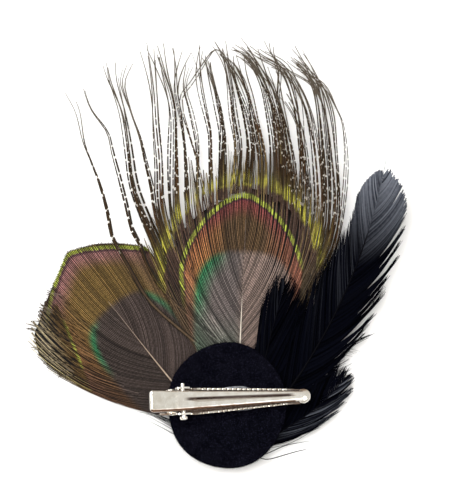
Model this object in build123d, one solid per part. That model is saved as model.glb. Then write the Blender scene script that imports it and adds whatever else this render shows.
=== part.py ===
from build123d import *
import math
import os
from collections import Counter, namedtuple

# A feather hair clip that lies on its front with the metal clip up.
# +X runs along the clip to its nose, +Y up the tall eye feather, +Z out of the clip's side.
# The origin is the centre of the front pad's flat face. Lengths are millimetres, angles degrees.

# Felt pieces
BACKING_ACROSS = 45.0
BACKING_THICK = 2.0
BACKING_ROUND = 0.4
BACKING_STRETCH = 0.033
BACKING_WAVER = 0.2
WAVER_COUNT = 5
OUTLINE_POINTS = 24
FRONT_PAD_ACROSS = 25.0
FRONT_PAD_THICK = 1.8
FRONT_PAD_ROUND = 0.5
SEAT_GAP = 0.2

# Feathers
VANE_THICK = 0.4
LAYER_GAP = 0.25
QUILL_ROOT_ACROSS = 1.1
QUILL_TIP_ACROSS = 0.5
FINE_QUILL = 0.7
LOCK_TIP_WIDE = 0.7
LOCK_PARTS = 4
FAN_ROWS = 7
FAN_START = 9.0
TALL_EYE_LENGTH = 87.0
TALL_EYE_BEARING = 87.8
SIDE_EYE_LENGTH = 77.5
SIDE_EYE_BEARING = 129.0
LONG_BLACK_LENGTH = 105.0
SHORT_BLACK_LENGTH = 47.0
LOW_BLACK_LENGTH = 47.0
BARB_ANGLE = 33.0

# Metal clip, in its own frame: the pin is at x 0, z 0 is its underside
CLIP_SHIFT_X = 1.25
CLIP_SHIFT_Y = 1.75
CLIP_TURN = 2.9
SHEET = 0.6
TAIL_REACH = 12.3
JAW_REACH = 46.8
BASE_TAIL_REACH = 9.0
BASE_TAIL_WIDE = 8.7
BASE_WIDE = 10.4
BASE_NOSE_WIDE = 5.2
BASE_WALL_HIGH = 2.6
BASE_EAR_WALL = 1.6
EAR_HIGH = 5.6
EAR_ROUND = 1.8
LEVER_TAIL_WIDE = 8.2
LEVER_WIDE = 7.4
LEVER_NOSE_WIDE = 3.8
LEVER_TOP = 6.9
LEVER_SHOULDER = 1.0
LEVER_EAR_WALL = 1.2
TAIL_TOP = 10.0
TAIL_LIP = 0.3
TAIL_FACE = 1.0
TAIL_CORNER = 1.3
TAIL_EDGE_ROUND = 1.5
KNEE_BACK = -2.0
KNEE_FRONT = 4.0
KNEE_RISE = 0.5
KNEE_BACK_ROUND = 12.0
KNEE_FRONT_ROUND = 30.0
NOSE_TOP = 3.4
NOSE_ACROSS = 5.5
NOSE_RISE = 1.2
JAW_GAP = 0.35
TAIL_WALL = 1.5
TOOTH_PITCH = 1.85
TOOTH_DEEP = 0.8
TEETH_MARGIN = 1.0
RIB_WIDE = 2.4
RIB_HIGH = 0.7
RIB_BACK = 1.5
RIB_SWELL = 4.0
RIB_END = 2.0
PIN_ACROSS = 1.6
PIN_HIGH = 3.8
PIN_STUB = 1.5
PIN_HEAD_ACROSS = 3.1
PIN_HEAD_THICK = 1.2
PIN_NECK = 0.6
PIN_PLAY = 0.05
SPRING_WIRE = 0.7
SPRING_TURNS = 4
SPRING_TURN_STEPS = 12
SPRING_TURN_GAP = 0.25
SPRING_LEG_SHARE = 0.55
SPRING_PLAY = 0.3

# Glue
GLUE_THICK = 0.5
GLUE_LONG = 30.0
BEAD_LONG = 10.0
BEAD_HIGH = 1.1
GLUE_AHEAD = 2.0
GLUE_PLAY = 0.3

# Levels that follow from the stack of pad, quills, vanes, backing and clip
LAYER = VANE_THICK + LAYER_GAP
QUILL_LEVEL = FRONT_PAD_THICK + SEAT_GAP + QUILL_ROOT_ACROSS / 2
BLACK_LEVEL = QUILL_LEVEL + LAYER
BACKING_BOTTOM = max(BLACK_LEVEL + VANE_THICK / 2, QUILL_LEVEL + QUILL_ROOT_ACROSS / 2) + SEAT_GAP
BACKING_TOP = BACKING_BOTTOM + BACKING_THICK
CLIP_BOTTOM = BACKING_TOP + GLUE_THICK
CLIP_MIDDLE = (JAW_REACH - TAIL_REACH) / 2
BACKING_RADIUS = BACKING_ACROSS / 2

# An eye feather's fan: one row for each ray from its root. Turn is from the shaft, left is plus;
# reach is the vane's edge, as a share of the feather's length. The lock between this ray and the
# next has a length as such a share, a lean from the shaft and a bow to the left as a share of it.
Ray = namedtuple("Ray", "turn reach lock lean bow")
TALL_EYE_FAN = [
    Ray(35.0, 0.575, 0.90, 30.0, 0.07),
    Ray(32.5, 0.69, 0.83, 25.8, 0.05),
    Ray(28.5, 0.77, 0.77, 18.7, 0.03),
    Ray(24.0, 0.83, 0.72, 13.6, 0.01),
    Ray(19.0, 0.89, 0.69, 12.0, -0.01),
    Ray(13.5, 0.94, 0.63, 9.0, -0.02),
    Ray(7.0, 0.98, 0.56, 9.5, -0.03),
    Ray(0.0, 1.00, 0.58, 11.0, -0.04),
    Ray(-4.5, 0.985, 0.62, 11.5, -0.05),
    Ray(-10.5, 0.945, 0.67, 9.5, -0.06),
    Ray(-16.0, 0.90, 0.70, 6.5, -0.08),
    Ray(-21.0, 0.83, 0.71, 3.0, -0.11),
    Ray(-25.5, 0.735, 0.66, -6.0, -0.12),
    Ray(-29.0, 0.60, 0.0, 0.0, 0.0),
]
SIDE_EYE_FAN = [
    Ray(38.0, 0.47, 0.16, 37.0, 0.0),
    Ray(35.0, 0.69, 0.12, 33.0, 0.0),
    Ray(30.0, 0.80, 0.12, 27.0, 0.0),
    Ray(24.0, 0.85, 0.08, 20.0, 0.0),
    Ray(18.0, 0.89, 0.05, 14.0, 0.0),
    Ray(12.0, 0.945, 0.0, 0.0, 0.0),
    Ray(6.2, 0.98, 0.0, 0.0, 0.0),
    Ray(0.0, 1.03, 0.0, 0.0, 0.0),
    Ray(-5.0, 1.0, 0.0, 0.0, 0.0),
    Ray(-10.0, 0.97, 0.0, 0.0, 0.0),
    Ray(-15.0, 0.925, 0.0, 0.0, 0.0),
    Ray(-20.8, 0.87, 0.0, 0.0, 0.0),
    Ray(-24.0, 0.76, 0.0, 0.0, 0.0),
    Ray(-29.0, 0.56, 0.0, 0.0, 0.0),
    Ray(-33.0, 0.42, 0.0, 0.0, 0.0),
]

# A black feather's vane: one row for each barb that is followed from the shaft to the edge.
# Start is its place on the shaft; left and right are the half widths; the locks are how far the
# points of the ragged edge stand out after it. All are shares of the feather's length.
Barb = namedtuple("Barb", "start left right left_lock right_lock")
LONG_BLACK_VANE = [
    Barb(0.20, 0.060, 0.080, 0.00, 0.04),
    Barb(0.25, 0.110, 0.100, 0.02, 0.06),
    Barb(0.31, 0.121, 0.090, 0.00, 0.08),
    Barb(0.37, 0.116, 0.095, 0.02, 0.08),
    Barb(0.43, 0.108, 0.103, 0.00, 0.05),
    Barb(0.49, 0.098, 0.110, 0.02, 0.04),
    Barb(0.55, 0.089, 0.110, 0.00, 0.04),
    Barb(0.61, 0.081, 0.106, 0.02, 0.03),
    Barb(0.67, 0.073, 0.100, 0.00, 0.03),
    Barb(0.73, 0.065, 0.092, 0.015, 0.02),
    Barb(0.79, 0.064, 0.092, 0.00, 0.02),
    Barb(0.85, 0.055, 0.074, 0.00, 0.00),
    Barb(0.91, 0.037, 0.048, 0.00, 0.00),
    Barb(0.96, 0.017, 0.022, 0.00, 0.00),
]
SHORT_BLACK_VANE = [
    Barb(0.26, 0.045, 0.100, 0.00, 0.00),
    Barb(0.36, 0.060, 0.150, 0.05, 0.00),
    Barb(0.46, 0.065, 0.130, 0.08, 0.04),
    Barb(0.58, 0.070, 0.090, 0.14, 0.12),
    Barb(0.70, 0.065, 0.080, 0.12, 0.14),
    Barb(0.82, 0.050, 0.055, 0.08, 0.10),
    Barb(0.92, 0.020, 0.030, 0.00, 0.00),
]
LOW_BLACK_VANE = [
    Barb(0.30, 0.070, 0.080, 0.00, 0.00),
    Barb(0.41, 0.120, 0.120, 0.04, 0.05),
    Barb(0.52, 0.150, 0.125, 0.08, 0.06),
    Barb(0.63, 0.150, 0.115, 0.12, 0.07),
    Barb(0.74, 0.130, 0.095, 0.12, 0.06),
    Barb(0.85, 0.090, 0.060, 0.06, 0.04),
    Barb(0.94, 0.040, 0.025, 0.00, 0.00),
]

# Heights along a feather: share of its length, then the middle's rise in layers of thickness
# and gap, and how much lower the vane's edges hang there, in the same layers.
Level = namedtuple("Level", "share rise hang")
TALL_EYE_LEVELS = [
    Level(0.00, 0.0, 0.0),
    Level(0.26, 0.0, 0.3),
    Level(0.55, 1.6, 0.8),
    Level(1.00, 2.2, 1.0),
    Level(1.70, -1.6, 0.0),
]
SIDE_EYE_LEVELS = [
    Level(0.00, 0.0, 0.0),
    Level(0.16, 0.0, 0.0),
    Level(0.30, -1.5, 0.2),
    Level(0.60, -1.3, 0.7),
    Level(1.00, -2.3, 0.4),
    Level(1.20, -2.8, 0.0),
]
LONG_BLACK_LEVELS = [
    Level(0.00, 0.1, 0.0),
    Level(0.20, 0.5, 0.0),
    Level(0.36, 2.6, 0.5),
    Level(0.60, 6.0, 1.2),
    Level(0.80, 10.0, 1.4),
    Level(1.00, 16.0, 0.8),
    Level(1.20, 22.0, 0.0),
]
SHORT_BLACK_LEVELS = [
    Level(0.00, 0.1, 0.0),
    Level(0.30, 0.85, 0.0),
    Level(0.45, 1.0, 0.0),
    Level(1.00, 3.6, 0.2),
    Level(1.30, 4.6, 0.0),
]
LOW_BLACK_LEVELS = [
    Level(0.00, 0.0, 0.0),
    Level(0.35, 0.6, 0.0),
    Level(0.70, 0.4, 0.4),
    Level(1.30, 1.0, 0.2),
]

# Where each root lies under the backing, as shares of the backing's radius
Root = namedtuple("Root", "x y")
TALL_EYE_ROOT = Root(0.18, 0.0)
SIDE_EYE_ROOT = Root(-0.40, -0.20)
LONG_BLACK_ROOT = Root(0.60, -0.27)
SHORT_BLACK_ROOT = Root(0.46, -0.05)
LOW_BLACK_ROOT = Root(0.26, -0.66)

# A black feather's shaft is an arc from its root's bearing to its tip's
LONG_BLACK_BEARINGS = (50.0, 79.0)
SHORT_BLACK_BEARINGS = (80.0, 73.0)
LOW_BLACK_BEARINGS = (16.0, 52.0)


def rad(angle):
    return math.radians(angle)


def heading(bearing, length=1.0):
    """A step of a length along a bearing, in the plane."""
    return Vector(length * math.cos(rad(bearing)), length * math.sin(rad(bearing)))


def facets(corners):
    """The triangles of a plane or bent polygon, fanned from its first corner."""
    for second, third in zip(corners[1:-1], corners[2:]):
        yield Face(Wire.make_polygon([corners[0], second, third], close=True))


def plate(corners, cells):
    """A closed thin solid. corners maps a name to (point, thickness); cells list corner names."""
    upper = {name: point + Vector(0, 0, thick / 2) for name, (point, thick) in corners.items()}
    lower = {name: point - Vector(0, 0, thick / 2) for name, (point, thick) in corners.items()}
    faces = []
    edges = Counter()
    for cell in cells:
        loop = anticlockwise([(corners[name][0], name) for name in cell])
        faces += facets([upper[name] for name in loop])
        faces += facets([lower[name] for name in reversed(loop)])
        for edge in zip(loop, loop[1:] + loop[:1]):
            edges[edge] += 1
    for first, second in list(edges):
        if not edges[second, first]:
            faces += facets([upper[second], upper[first], lower[first], lower[second]])
    return Solid(Shell(faces))


def anticlockwise(loop):
    """The names of a loop of (point, name), anticlockwise as seen from above."""
    points = [point for point, name in loop]
    area = sum(a.X * b.Y - b.X * a.Y for a, b in zip(points, points[1:] + points[:1]))
    names = [name for point, name in loop]
    return names if area > 0 else names[::-1]


def at_level(levels, share, side, start):
    """Height at a share of the length, for a place that is a share of the way to the edge."""
    before = levels[0]
    for after in levels[1:]:
        if share <= after.share:
            break
        before = after
    span = max(after.share - before.share, 1e-6)
    part = min(max((share - before.share) / span, 0.0), 1.0)
    smooth = part * part * (3 - 2 * part)
    rise = before.rise + (after.rise - before.rise) * smooth
    hang = before.hang + (after.hang - before.hang) * smooth
    return start + LAYER * (rise - hang * side * side)


def quill_row(corners, name, place, across, share, height, fine=1.0):
    """Adds the three corners of the quill's ridge at one place; returns their names."""
    radius = fine * (QUILL_ROOT_ACROSS + (QUILL_TIP_ACROSS - QUILL_ROOT_ACROSS) * share) / 2
    row = []
    for side in (1, 0, -1):
        point = place + across * (side * radius)
        thick = VANE_THICK if side else 2 * radius
        corners[name, side] = (Vector(point.X, point.Y, height), thick)
        row.append((name, side))
    return row


def lock(corners, cells, name, base, tip, bow, height_at):
    """Adds a pointed lock from an edge, given by its left and right corner, to its tip."""
    left, right = (corners[corner][0] for corner in base)
    middle = Vector((left.X + right.X) / 2, (left.Y + right.Y) / 2)
    run = tip - middle
    aside = run.rotate(Axis.Z, 90)
    wide = max(abs((left - right).dot(aside.normalized())), LOCK_TIP_WIDE)
    row = list(base)
    for part in range(1, LOCK_PARTS + 1):
        share = part / LOCK_PARTS
        place = middle + run * share + aside * (4 * bow * share * (1 - share))
        ahead = run + aside * (4 * bow * (1 - 2 * share))
        half = (wide * (1 - share) + LOCK_TIP_WIDE * share) / 2
        across = ahead.rotate(Axis.Z, 90).normalized() * half
        fresh = []
        for side in (1, -1):
            point = place + across * side
            corners[name, part, side] = (Vector(point.X, point.Y, height_at(share)), VANE_THICK)
            fresh.append((name, part, side))
        cells.append([row[0], fresh[0], fresh[1], row[1]])
        row = fresh


def eye_feather(root, bearing, length, fan, levels):
    """A peacock's eye feather: quill, dense fan and loose locks, as one solid."""
    corners, cells = {}, []
    apex = Vector(root.x * BACKING_RADIUS, root.y * BACKING_RADIUS)
    across = heading(bearing + 90)
    widest = max(abs(ray.turn) for ray in fan)

    quill = quill_row(corners, "root", apex, across, 0.0, at_level(levels, 0, 0, QUILL_LEVEL))
    rows = []
    for row in range(FAN_ROWS + 1):
        rays = []
        for ray in fan:
            radius = FAN_START + (ray.reach * length - FAN_START) * row / FAN_ROWS
            share = radius / length
            height = at_level(levels, share, abs(ray.turn) / widest, QUILL_LEVEL)
            place = apex + heading(bearing + ray.turn, radius)
            if ray.turn == 0.0:
                rays.append(quill_row(corners, ("shaft", row), place, across, share, height))
                shaft = len(rays) - 1
            else:
                corners[row, ray.turn] = (Vector(place.X, place.Y, height), VANE_THICK)
                rays.append([(row, ray.turn)])
        rows.append(rays)
    add_cells(cells, quill, rows[0][shaft])
    for inner, outer in zip(rows, rows[1:]):
        add_cells(cells, sum(inner, []), sum(outer, []))

    edge = rows[-1]
    for index, ray in enumerate(fan[:-1]):
        if not ray.lock:
            continue
        base = [edge[index][-1], edge[index + 1][0]]
        middle = (corners[base[0]][0] + corners[base[1]][0]) * 0.5
        tip = Vector(middle.X, middle.Y) + heading(bearing + ray.lean, ray.lock * length)
        end = at_level(levels, ray.reach + ray.lock, 0, QUILL_LEVEL)
        lock(corners, cells, ("lock", index), base, tip, ray.bow,
             lambda share, low=middle.Z, end=end: low + (end - low) * share)
    return plate(corners, cells)


def add_cells(cells, inner, outer):
    """Adds the cells between two rows of corners that run the same way."""
    for left in range(len(inner) - 1):
        cells.append([inner[left], outer[left], outer[left + 1], inner[left + 1]])


def black_feather(root, bearings, length, vane, levels, fine=1.0):
    """A black feather on a curved shaft, with swept barbs and ragged edges, as one solid."""
    corners, cells = {}, []
    start = Vector(root.x * BACKING_RADIUS, root.y * BACKING_RADIUS)
    bend = rad(bearings[1] - bearings[0])

    def shaft(share):
        """Place and bearing on the arc at a share of the shaft's length."""
        turned = bend * share
        first = rad(bearings[0])
        radius = length / bend
        step = Vector(
            radius * (math.sin(first + turned) - math.sin(first)),
            radius * (math.cos(first) - math.cos(first + turned)),
        )
        return start + step, bearings[0] + math.degrees(turned)

    def add_corner(name, share, side, width):
        """A corner on the barb that leaves the shaft at a share, a width to one side."""
        place, bearing = shaft(share)
        out = width * length
        place += heading(bearing + side * BARB_ANGLE, out / math.sin(rad(BARB_ANGLE)))
        reached = share + width / math.tan(rad(BARB_ANGLE))
        widest = max(max(barb.left, barb.right) for barb in vane)
        height = at_level(levels, reached, width / widest, QUILL_LEVEL)
        corners[name] = (Vector(place.X, place.Y, height), VANE_THICK)
        return name

    def add_shaft(name, share):
        place, bearing = shaft(share)
        height = at_level(levels, share, 0, QUILL_LEVEL)
        return quill_row(corners, name, place, heading(bearing + 90), share, height, fine)

    bare = [add_shaft(("bare", step), vane[0].start * step / 2) for step in range(2)]
    rows = []
    for index, barb in enumerate(vane):
        row = [add_corner((index, 1, 2), barb.start, 1, barb.left)]
        row.append(add_corner((index, 1, 1), barb.start, 1, barb.left / 2))
        row += add_shaft(("shaft", index), barb.start)
        row.append(add_corner((index, -1, 1), barb.start, -1, barb.right / 2))
        row.append(add_corner((index, -1, 2), barb.start, -1, barb.right))
        rows.append(row)
    tip = add_shaft("tip", 1.0)
    quill_rows = bare + [row[2:5] for row in rows] + [tip]
    for lower, upper in zip(quill_rows, quill_rows[1:]):
        add_cells(cells, lower, upper)
    for lower, upper in zip(rows, rows[1:]):
        add_cells(cells, lower[:3], upper[:3])
        add_cells(cells, lower[4:], upper[4:])

    for index, barb in enumerate(vane[:-1]):
        for side, column, reach in ((1, 0, barb.left_lock), (-1, 6, barb.right_lock)):
            if not reach:
                continue
            base = [rows[index][column], rows[index + 1][column]][::side]
            edge = corners[rows[index + 1][column]][0]
            bearing = shaft(vane[index + 1].start)[1] + side * BARB_ANGLE
            tip_place = Vector(edge.X, edge.Y) + heading(bearing, reach * length)
            lock(corners, cells, ("lock", index, side), base, tip_place, 0.0,
                 lambda share, edge=edge: edge.Z)
    return plate(corners, cells)


def felt_outline(across):
    """The hand-cut round of felt: a circle stretched along Y, with a slight waver."""
    points = []
    for step in range(OUTLINE_POINTS):
        angle = 2 * math.pi * step / OUTLINE_POINTS
        radius = across / 2 * (1 - BACKING_STRETCH * math.cos(2 * angle))
        radius += BACKING_WAVER * math.sin(WAVER_COUNT * angle + 1) * across / BACKING_ACROSS
        points.append((radius * math.cos(angle), radius * math.sin(angle)))
    return make_face(Spline(*points, periodic=True))


def backing_disc():
    disc = extrude(Pos(0, 0, BACKING_BOTTOM) * felt_outline(BACKING_ACROSS), amount=BACKING_THICK)
    return fillet(disc.edges(), BACKING_ROUND)


def front_pad():
    pad = extrude(Circle(FRONT_PAD_ACROSS / 2), amount=FRONT_PAD_THICK)
    return fillet(pad.edges().sort_by(Axis.Z)[-1], FRONT_PAD_ROUND)


def clip_place():
    """Where the clip's own frame lies: its middle is a little off the backing's centre."""
    return Pos(CLIP_SHIFT_X, CLIP_SHIFT_Y, CLIP_BOTTOM) * Rot(0, 0, CLIP_TURN) * Pos(-CLIP_MIDDLE, 0, 0)


def side_shape(points, rounds=()):
    """A block whose side view is a polygon, with some of its corners rounded."""
    face = make_face(Polyline(*points, close=True))
    for corner, radius in rounds:
        face = fillet(face.vertices().sort_by_distance((corner[0], corner[1], 0))[0:1], radius)
    return extrude(Plane.XZ * face, amount=BASE_WIDE, both=True)


def taper(back, front, back_half, pin_half, front_half, corner=0.0):
    """A block whose plan is a strip from back to front, with its half widths there and at the pin."""
    points = [(back, back_half), (0, pin_half), (front, front_half)]
    points += [(front, -front_half), (0, -pin_half), (back, -back_half)]
    face = make_face(Polyline(*points, close=True))
    if corner:
        face = fillet(face.vertices().sort_by(Axis.X)[0:2], corner)
    return extrude(face, amount=2 * TAIL_TOP, both=True)


def teeth(back, front, level, deep):
    """Points of a toothed edge from back to front: the points are at level, the gaps deep off it."""
    count = int((front - back) / TOOTH_PITCH)
    points = []
    for tooth in range(count):
        foot = back + tooth * TOOTH_PITCH
        points += [(foot, level - deep), (foot + TOOTH_PITCH / 2, level)]
    return points + [(back + count * TOOTH_PITCH, level - deep)]


def pin_hole(play):
    hole = Cylinder(PIN_ACROSS / 2 + play, 2 * BASE_WIDE, rotation=(90, 0, 0))
    return Pos(0, 0, PIN_HIGH) * hole


def clip_base():
    """The lower jaw: a tapered channel with toothed walls and two ears for the pin."""
    end = JAW_REACH - NOSE_ACROSS / 2
    wall_end = JAW_REACH - NOSE_ACROSS - SHEET
    ear = PIN_ACROSS / 2 + BASE_EAR_WALL
    ear_foot = ear + BASE_EAR_WALL
    toothed = teeth(ear_foot + TEETH_MARGIN, wall_end - TEETH_MARGIN, BASE_WALL_HIGH, TOOTH_DEEP)
    outline = [(-BASE_TAIL_REACH, 0), (end, 0), (end, SHEET), (wall_end, SHEET)]
    outline += [(wall_end, BASE_WALL_HIGH - TOOTH_DEEP)] + toothed[::-1]
    outline += [(ear_foot, BASE_WALL_HIGH - TOOTH_DEEP), (ear, EAR_HIGH), (-ear, EAR_HIGH)]
    outline += [(-ear_foot, TAIL_WALL + SHEET), (-BASE_TAIL_REACH, TAIL_WALL)]
    block = side_shape(outline, [((ear, EAR_HIGH), EAR_ROUND), ((-ear, EAR_HIGH), EAR_ROUND)])
    tail_half, half, nose_half = BASE_TAIL_WIDE / 2, BASE_WIDE / 2, BASE_NOSE_WIDE / 2
    block &= taper(-BASE_TAIL_REACH, end, tail_half, half, nose_half)
    hollow = taper(-2 * BASE_TAIL_REACH, 2 * end, 2 * tail_half - half - SHEET, half - SHEET,
                   2 * nose_half - half - SHEET)
    base = block - Pos(0, 0, 2 * TAIL_TOP + SHEET) * hollow
    base -= pin_hole(PIN_PLAY)
    return base


def lever_top(drop):
    """The lever's top line from tail to nose, lowered by a drop."""
    line = [(TAIL_FACE - TAIL_REACH, TAIL_TOP), (KNEE_BACK, LEVER_TOP + KNEE_RISE), (KNEE_FRONT, LEVER_TOP)]
    line += [(JAW_REACH - NOSE_ACROSS / 2, NOSE_TOP)]
    return [(x, z - drop) for x, z in line]


def clip_lever():
    """The upper jaw and its thumb tail: a pressed channel with a rib, teeth and a round nose."""
    middle = JAW_REACH - NOSE_ACROSS / 2
    foot = SHEET + JAW_GAP
    ear = PIN_ACROSS / 2 + LEVER_EAR_WALL
    ear_end = ear + 2 * LEVER_EAR_WALL
    toothed = teeth(ear_end, middle - 3 * TEETH_MARGIN, foot + TOOTH_DEEP, TOOTH_DEEP)
    tail, knee_back, knee_front, nose = lever_top(0)
    outline = [(-TAIL_REACH, TAIL_TOP - TAIL_LIP), tail, knee_back, knee_front, nose]
    outline += [(middle, foot + TOOTH_DEEP / 2)] + toothed[::-1]
    outline += [(ear, PIN_HIGH - ear), (-ear, PIN_HIGH - ear)]
    outline += [(-ear_end, LEVER_TOP - TAIL_WALL), (-TAIL_REACH, TAIL_TOP - TAIL_WALL)]
    rounds = [(knee_back, KNEE_BACK_ROUND), (knee_front, KNEE_FRONT_ROUND), (tail, TAIL_EDGE_ROUND)]
    rounds += [((ear, PIN_HIGH - ear), LEVER_EAR_WALL), ((-ear, PIN_HIGH - ear), LEVER_EAR_WALL)]
    tail_half, half, nose_half = LEVER_TAIL_WIDE / 2, LEVER_WIDE / 2, LEVER_NOSE_WIDE / 2
    plan = taper(-TAIL_REACH, middle, tail_half, half, nose_half, corner=TAIL_CORNER)
    block = side_shape(outline, rounds) & plan
    block = fillet(shoulder_edges(block, half), LEVER_SHOULDER)
    inside = [(SHEET - TAIL_REACH, TAIL_TOP - TAIL_LIP - SHEET), *lever_top(SHEET)[1:]]
    inside += [(middle, -SHEET), (SHEET - TAIL_REACH, -SHEET)]
    hollow = side_shape(inside)
    hollow &= taper(SHEET - TAIL_REACH, middle, tail_half - SHEET, half - SHEET, nose_half - SHEET)
    lever = block - hollow
    lever += nose_dome(middle, foot)
    lever += lever_rib()
    lever -= pin_hole(2 * PIN_PLAY)
    return lever


def shoulder_edges(block, half):
    """The edges where the lever's top meets its side walls."""
    def is_shoulder(edge):
        middle = edge.center()
        tangent = edge.tangent_at(0.5)
        return abs(middle.Y) > 0.4 * half and abs(tangent.X) > 0.5 and middle.Z > lower_limit(middle.X)
    return [edge for edge in block.edges() if is_shoulder(edge)]


def lower_limit(x):
    """A height between the lever's top line and the foot of its walls."""
    top = lever_top(TAIL_WALL / 2)
    for (back, high), (front, low) in zip(top, top[1:]):
        if x <= front:
            return high + (low - high) * (x - back) / (front - back)
    return top[-1][1]


def nose_dome(middle, foot):
    """The round hollow nose: a pressed cap of a sphere on a short skirt."""
    radius = NOSE_ACROSS / 2

    def dome(size, top):
        skirt = top - NOSE_RISE
        ball = (size * size + NOSE_RISE * NOSE_RISE) / (2 * NOSE_RISE)
        rim = math.degrees(math.asin((skirt - top + ball) / ball))
        side = [Line((0, foot), (size, foot)), Line((size, foot), (size, skirt))]
        side += [CenterArc((0, top - ball), ball, rim, 90 - rim), Line((0, top), (0, foot))]
        face = make_face(side)
        face = fillet(face.vertices().sort_by_distance((size, skirt, 0))[0:1], NOSE_RISE / 2)
        return revolve(Plane.XZ * face, Axis.Z)
    shell = dome(radius, NOSE_TOP)
    shell -= dome(radius - SHEET, NOSE_TOP - SHEET)
    return Pos(middle, 0, 0) * shell


def lever_rib():
    """The raised rib along the lever's middle: a ruled loft through triangles."""
    sections = []
    front = JAW_REACH - NOSE_ACROSS - RIB_BACK
    slope = (NOSE_TOP - LEVER_TOP) / (JAW_REACH - NOSE_ACROSS / 2 - KNEE_FRONT)
    swell = RIB_BACK + RIB_SWELL
    for x, size in ((RIB_BACK, 0.15), (swell, 1.0), (front, 0.45), (front + RIB_END, 0.15)):
        top = LEVER_TOP + slope * (x - KNEE_FRONT)
        half = RIB_WIDE / 2 * size
        points = [(half, top - SHEET / 2), (0, top + RIB_HIGH * size), (-half, top - SHEET / 2)]
        plane = Plane(origin=(x, 0, 0), x_dir=(0, 1, 0), z_dir=(1, 0, 0))
        sections.append(plane * make_face(Polyline(*points, close=True)))
    return loft(sections, ruled=True)


def clip_pin():
    """The hinge pin: a stub with a plain end on one side and a mushroomed head on the other."""
    half = BASE_WIDE / 2
    length = 2 * half + PIN_STUB + PIN_NECK
    shank = Pos(0, (PIN_STUB - PIN_NECK) / 2, 0) * Cylinder(PIN_ACROSS / 2, length, rotation=(90, 0, 0))
    shank = fillet(shank.edges().sort_by(Axis.Y)[-1], PIN_ACROSS / 5)
    head = Cylinder(PIN_HEAD_ACROSS / 2, PIN_HEAD_THICK, rotation=(90, 0, 0))
    head = fillet(head.edges().sort_by(Axis.Y)[0], PIN_HEAD_THICK * 0.6)
    head = Pos(0, -half - PIN_NECK - PIN_HEAD_THICK / 2, 0) * head
    return Pos(0, 0, PIN_HIGH) * (shank + head)


def wire(points, radius, sides=6):
    """A closed faceted tube along a path of points."""
    rings = []
    for index, point in enumerate(points):
        ahead = points[min(index + 1, len(points) - 1)] - points[max(index - 1, 0)]
        ahead = ahead.normalized()
        if index == 0:
            out = Vector(0, 1, 0) if abs(ahead.Y) < 0.9 else Vector(1, 0, 0)
        out = (out - ahead * out.dot(ahead)).normalized()
        aside = ahead.cross(out)
        turns = [2 * math.pi * side / sides for side in range(sides)]
        rings.append([point + (out * math.cos(t) + aside * math.sin(t)) * radius for t in turns])
    faces = [*facets(rings[0][::-1]), *facets(rings[-1])]
    for ring, following in zip(rings, rings[1:]):
        for side in range(sides):
            after = (side + 1) % sides
            faces += facets([ring[side], ring[after], following[after]])
            faces += facets([ring[side], following[after], following[side]])
    return Solid(Shell(faces))


def clip_spring():
    """The torsion spring: a coil round the pin, one leg on the base's floor, one under the tail."""
    coil = (PIN_ACROSS + SPRING_WIRE) / 2 + SPRING_PLAY
    width = SPRING_TURNS * (SPRING_WIRE + SPRING_TURN_GAP)
    legs = SPRING_LEG_SHARE * TAIL_REACH
    slope = (TAIL_TOP - LEVER_TOP - KNEE_RISE) / (TAIL_REACH - TAIL_FACE + KNEE_BACK)
    tail_level = LEVER_TOP + KNEE_RISE - SHEET + slope * (legs + KNEE_BACK) - SPRING_WIRE
    total = SPRING_TURNS * SPRING_TURN_STEPS + SPRING_TURN_STEPS // 2
    points = [Vector(-legs, -width / 2, SHEET + SPRING_WIRE)]
    for step in range(total + 1):
        angle = 2 * math.pi * step / SPRING_TURN_STEPS - math.pi / 2
        along = width * (step / total - 0.5)
        points.append(Vector(coil * math.cos(angle), along, PIN_HIGH + coil * math.sin(angle)))
    points.append(Vector(-legs, width / 2, tail_level))
    return wire(points, SPRING_WIRE / 2)


def glue():
    """Clear glue under the clip, squeezed out as a bead beside its wall."""
    middle = CLIP_MIDDLE + GLUE_AHEAD
    share = middle / (JAW_REACH - NOSE_ACROSS / 2)
    wall = (BASE_WIDE + (BASE_NOSE_WIDE - BASE_WIDE) * share) / 2
    pad = Pos(middle, 0, -GLUE_THICK) * extrude(Ellipse(GLUE_LONG / 2, wall), amount=GLUE_THICK)
    bead = scale(Sphere(1), (BEAD_LONG / 2, BEAD_HIGH, BEAD_HIGH + GLUE_THICK))
    bead = Pos(middle, wall, -GLUE_THICK) * bead
    room = Pos(middle, 0, BEAD_HIGH) * Box(2 * GLUE_LONG, 2 * (wall + GLUE_PLAY), 2 * BEAD_HIGH)
    under = Pos(middle, 0, -GLUE_THICK - BEAD_LONG) * Box(2 * GLUE_LONG, 2 * BASE_WIDE, 2 * BEAD_LONG)
    return pad + (bead - room - under)


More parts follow.
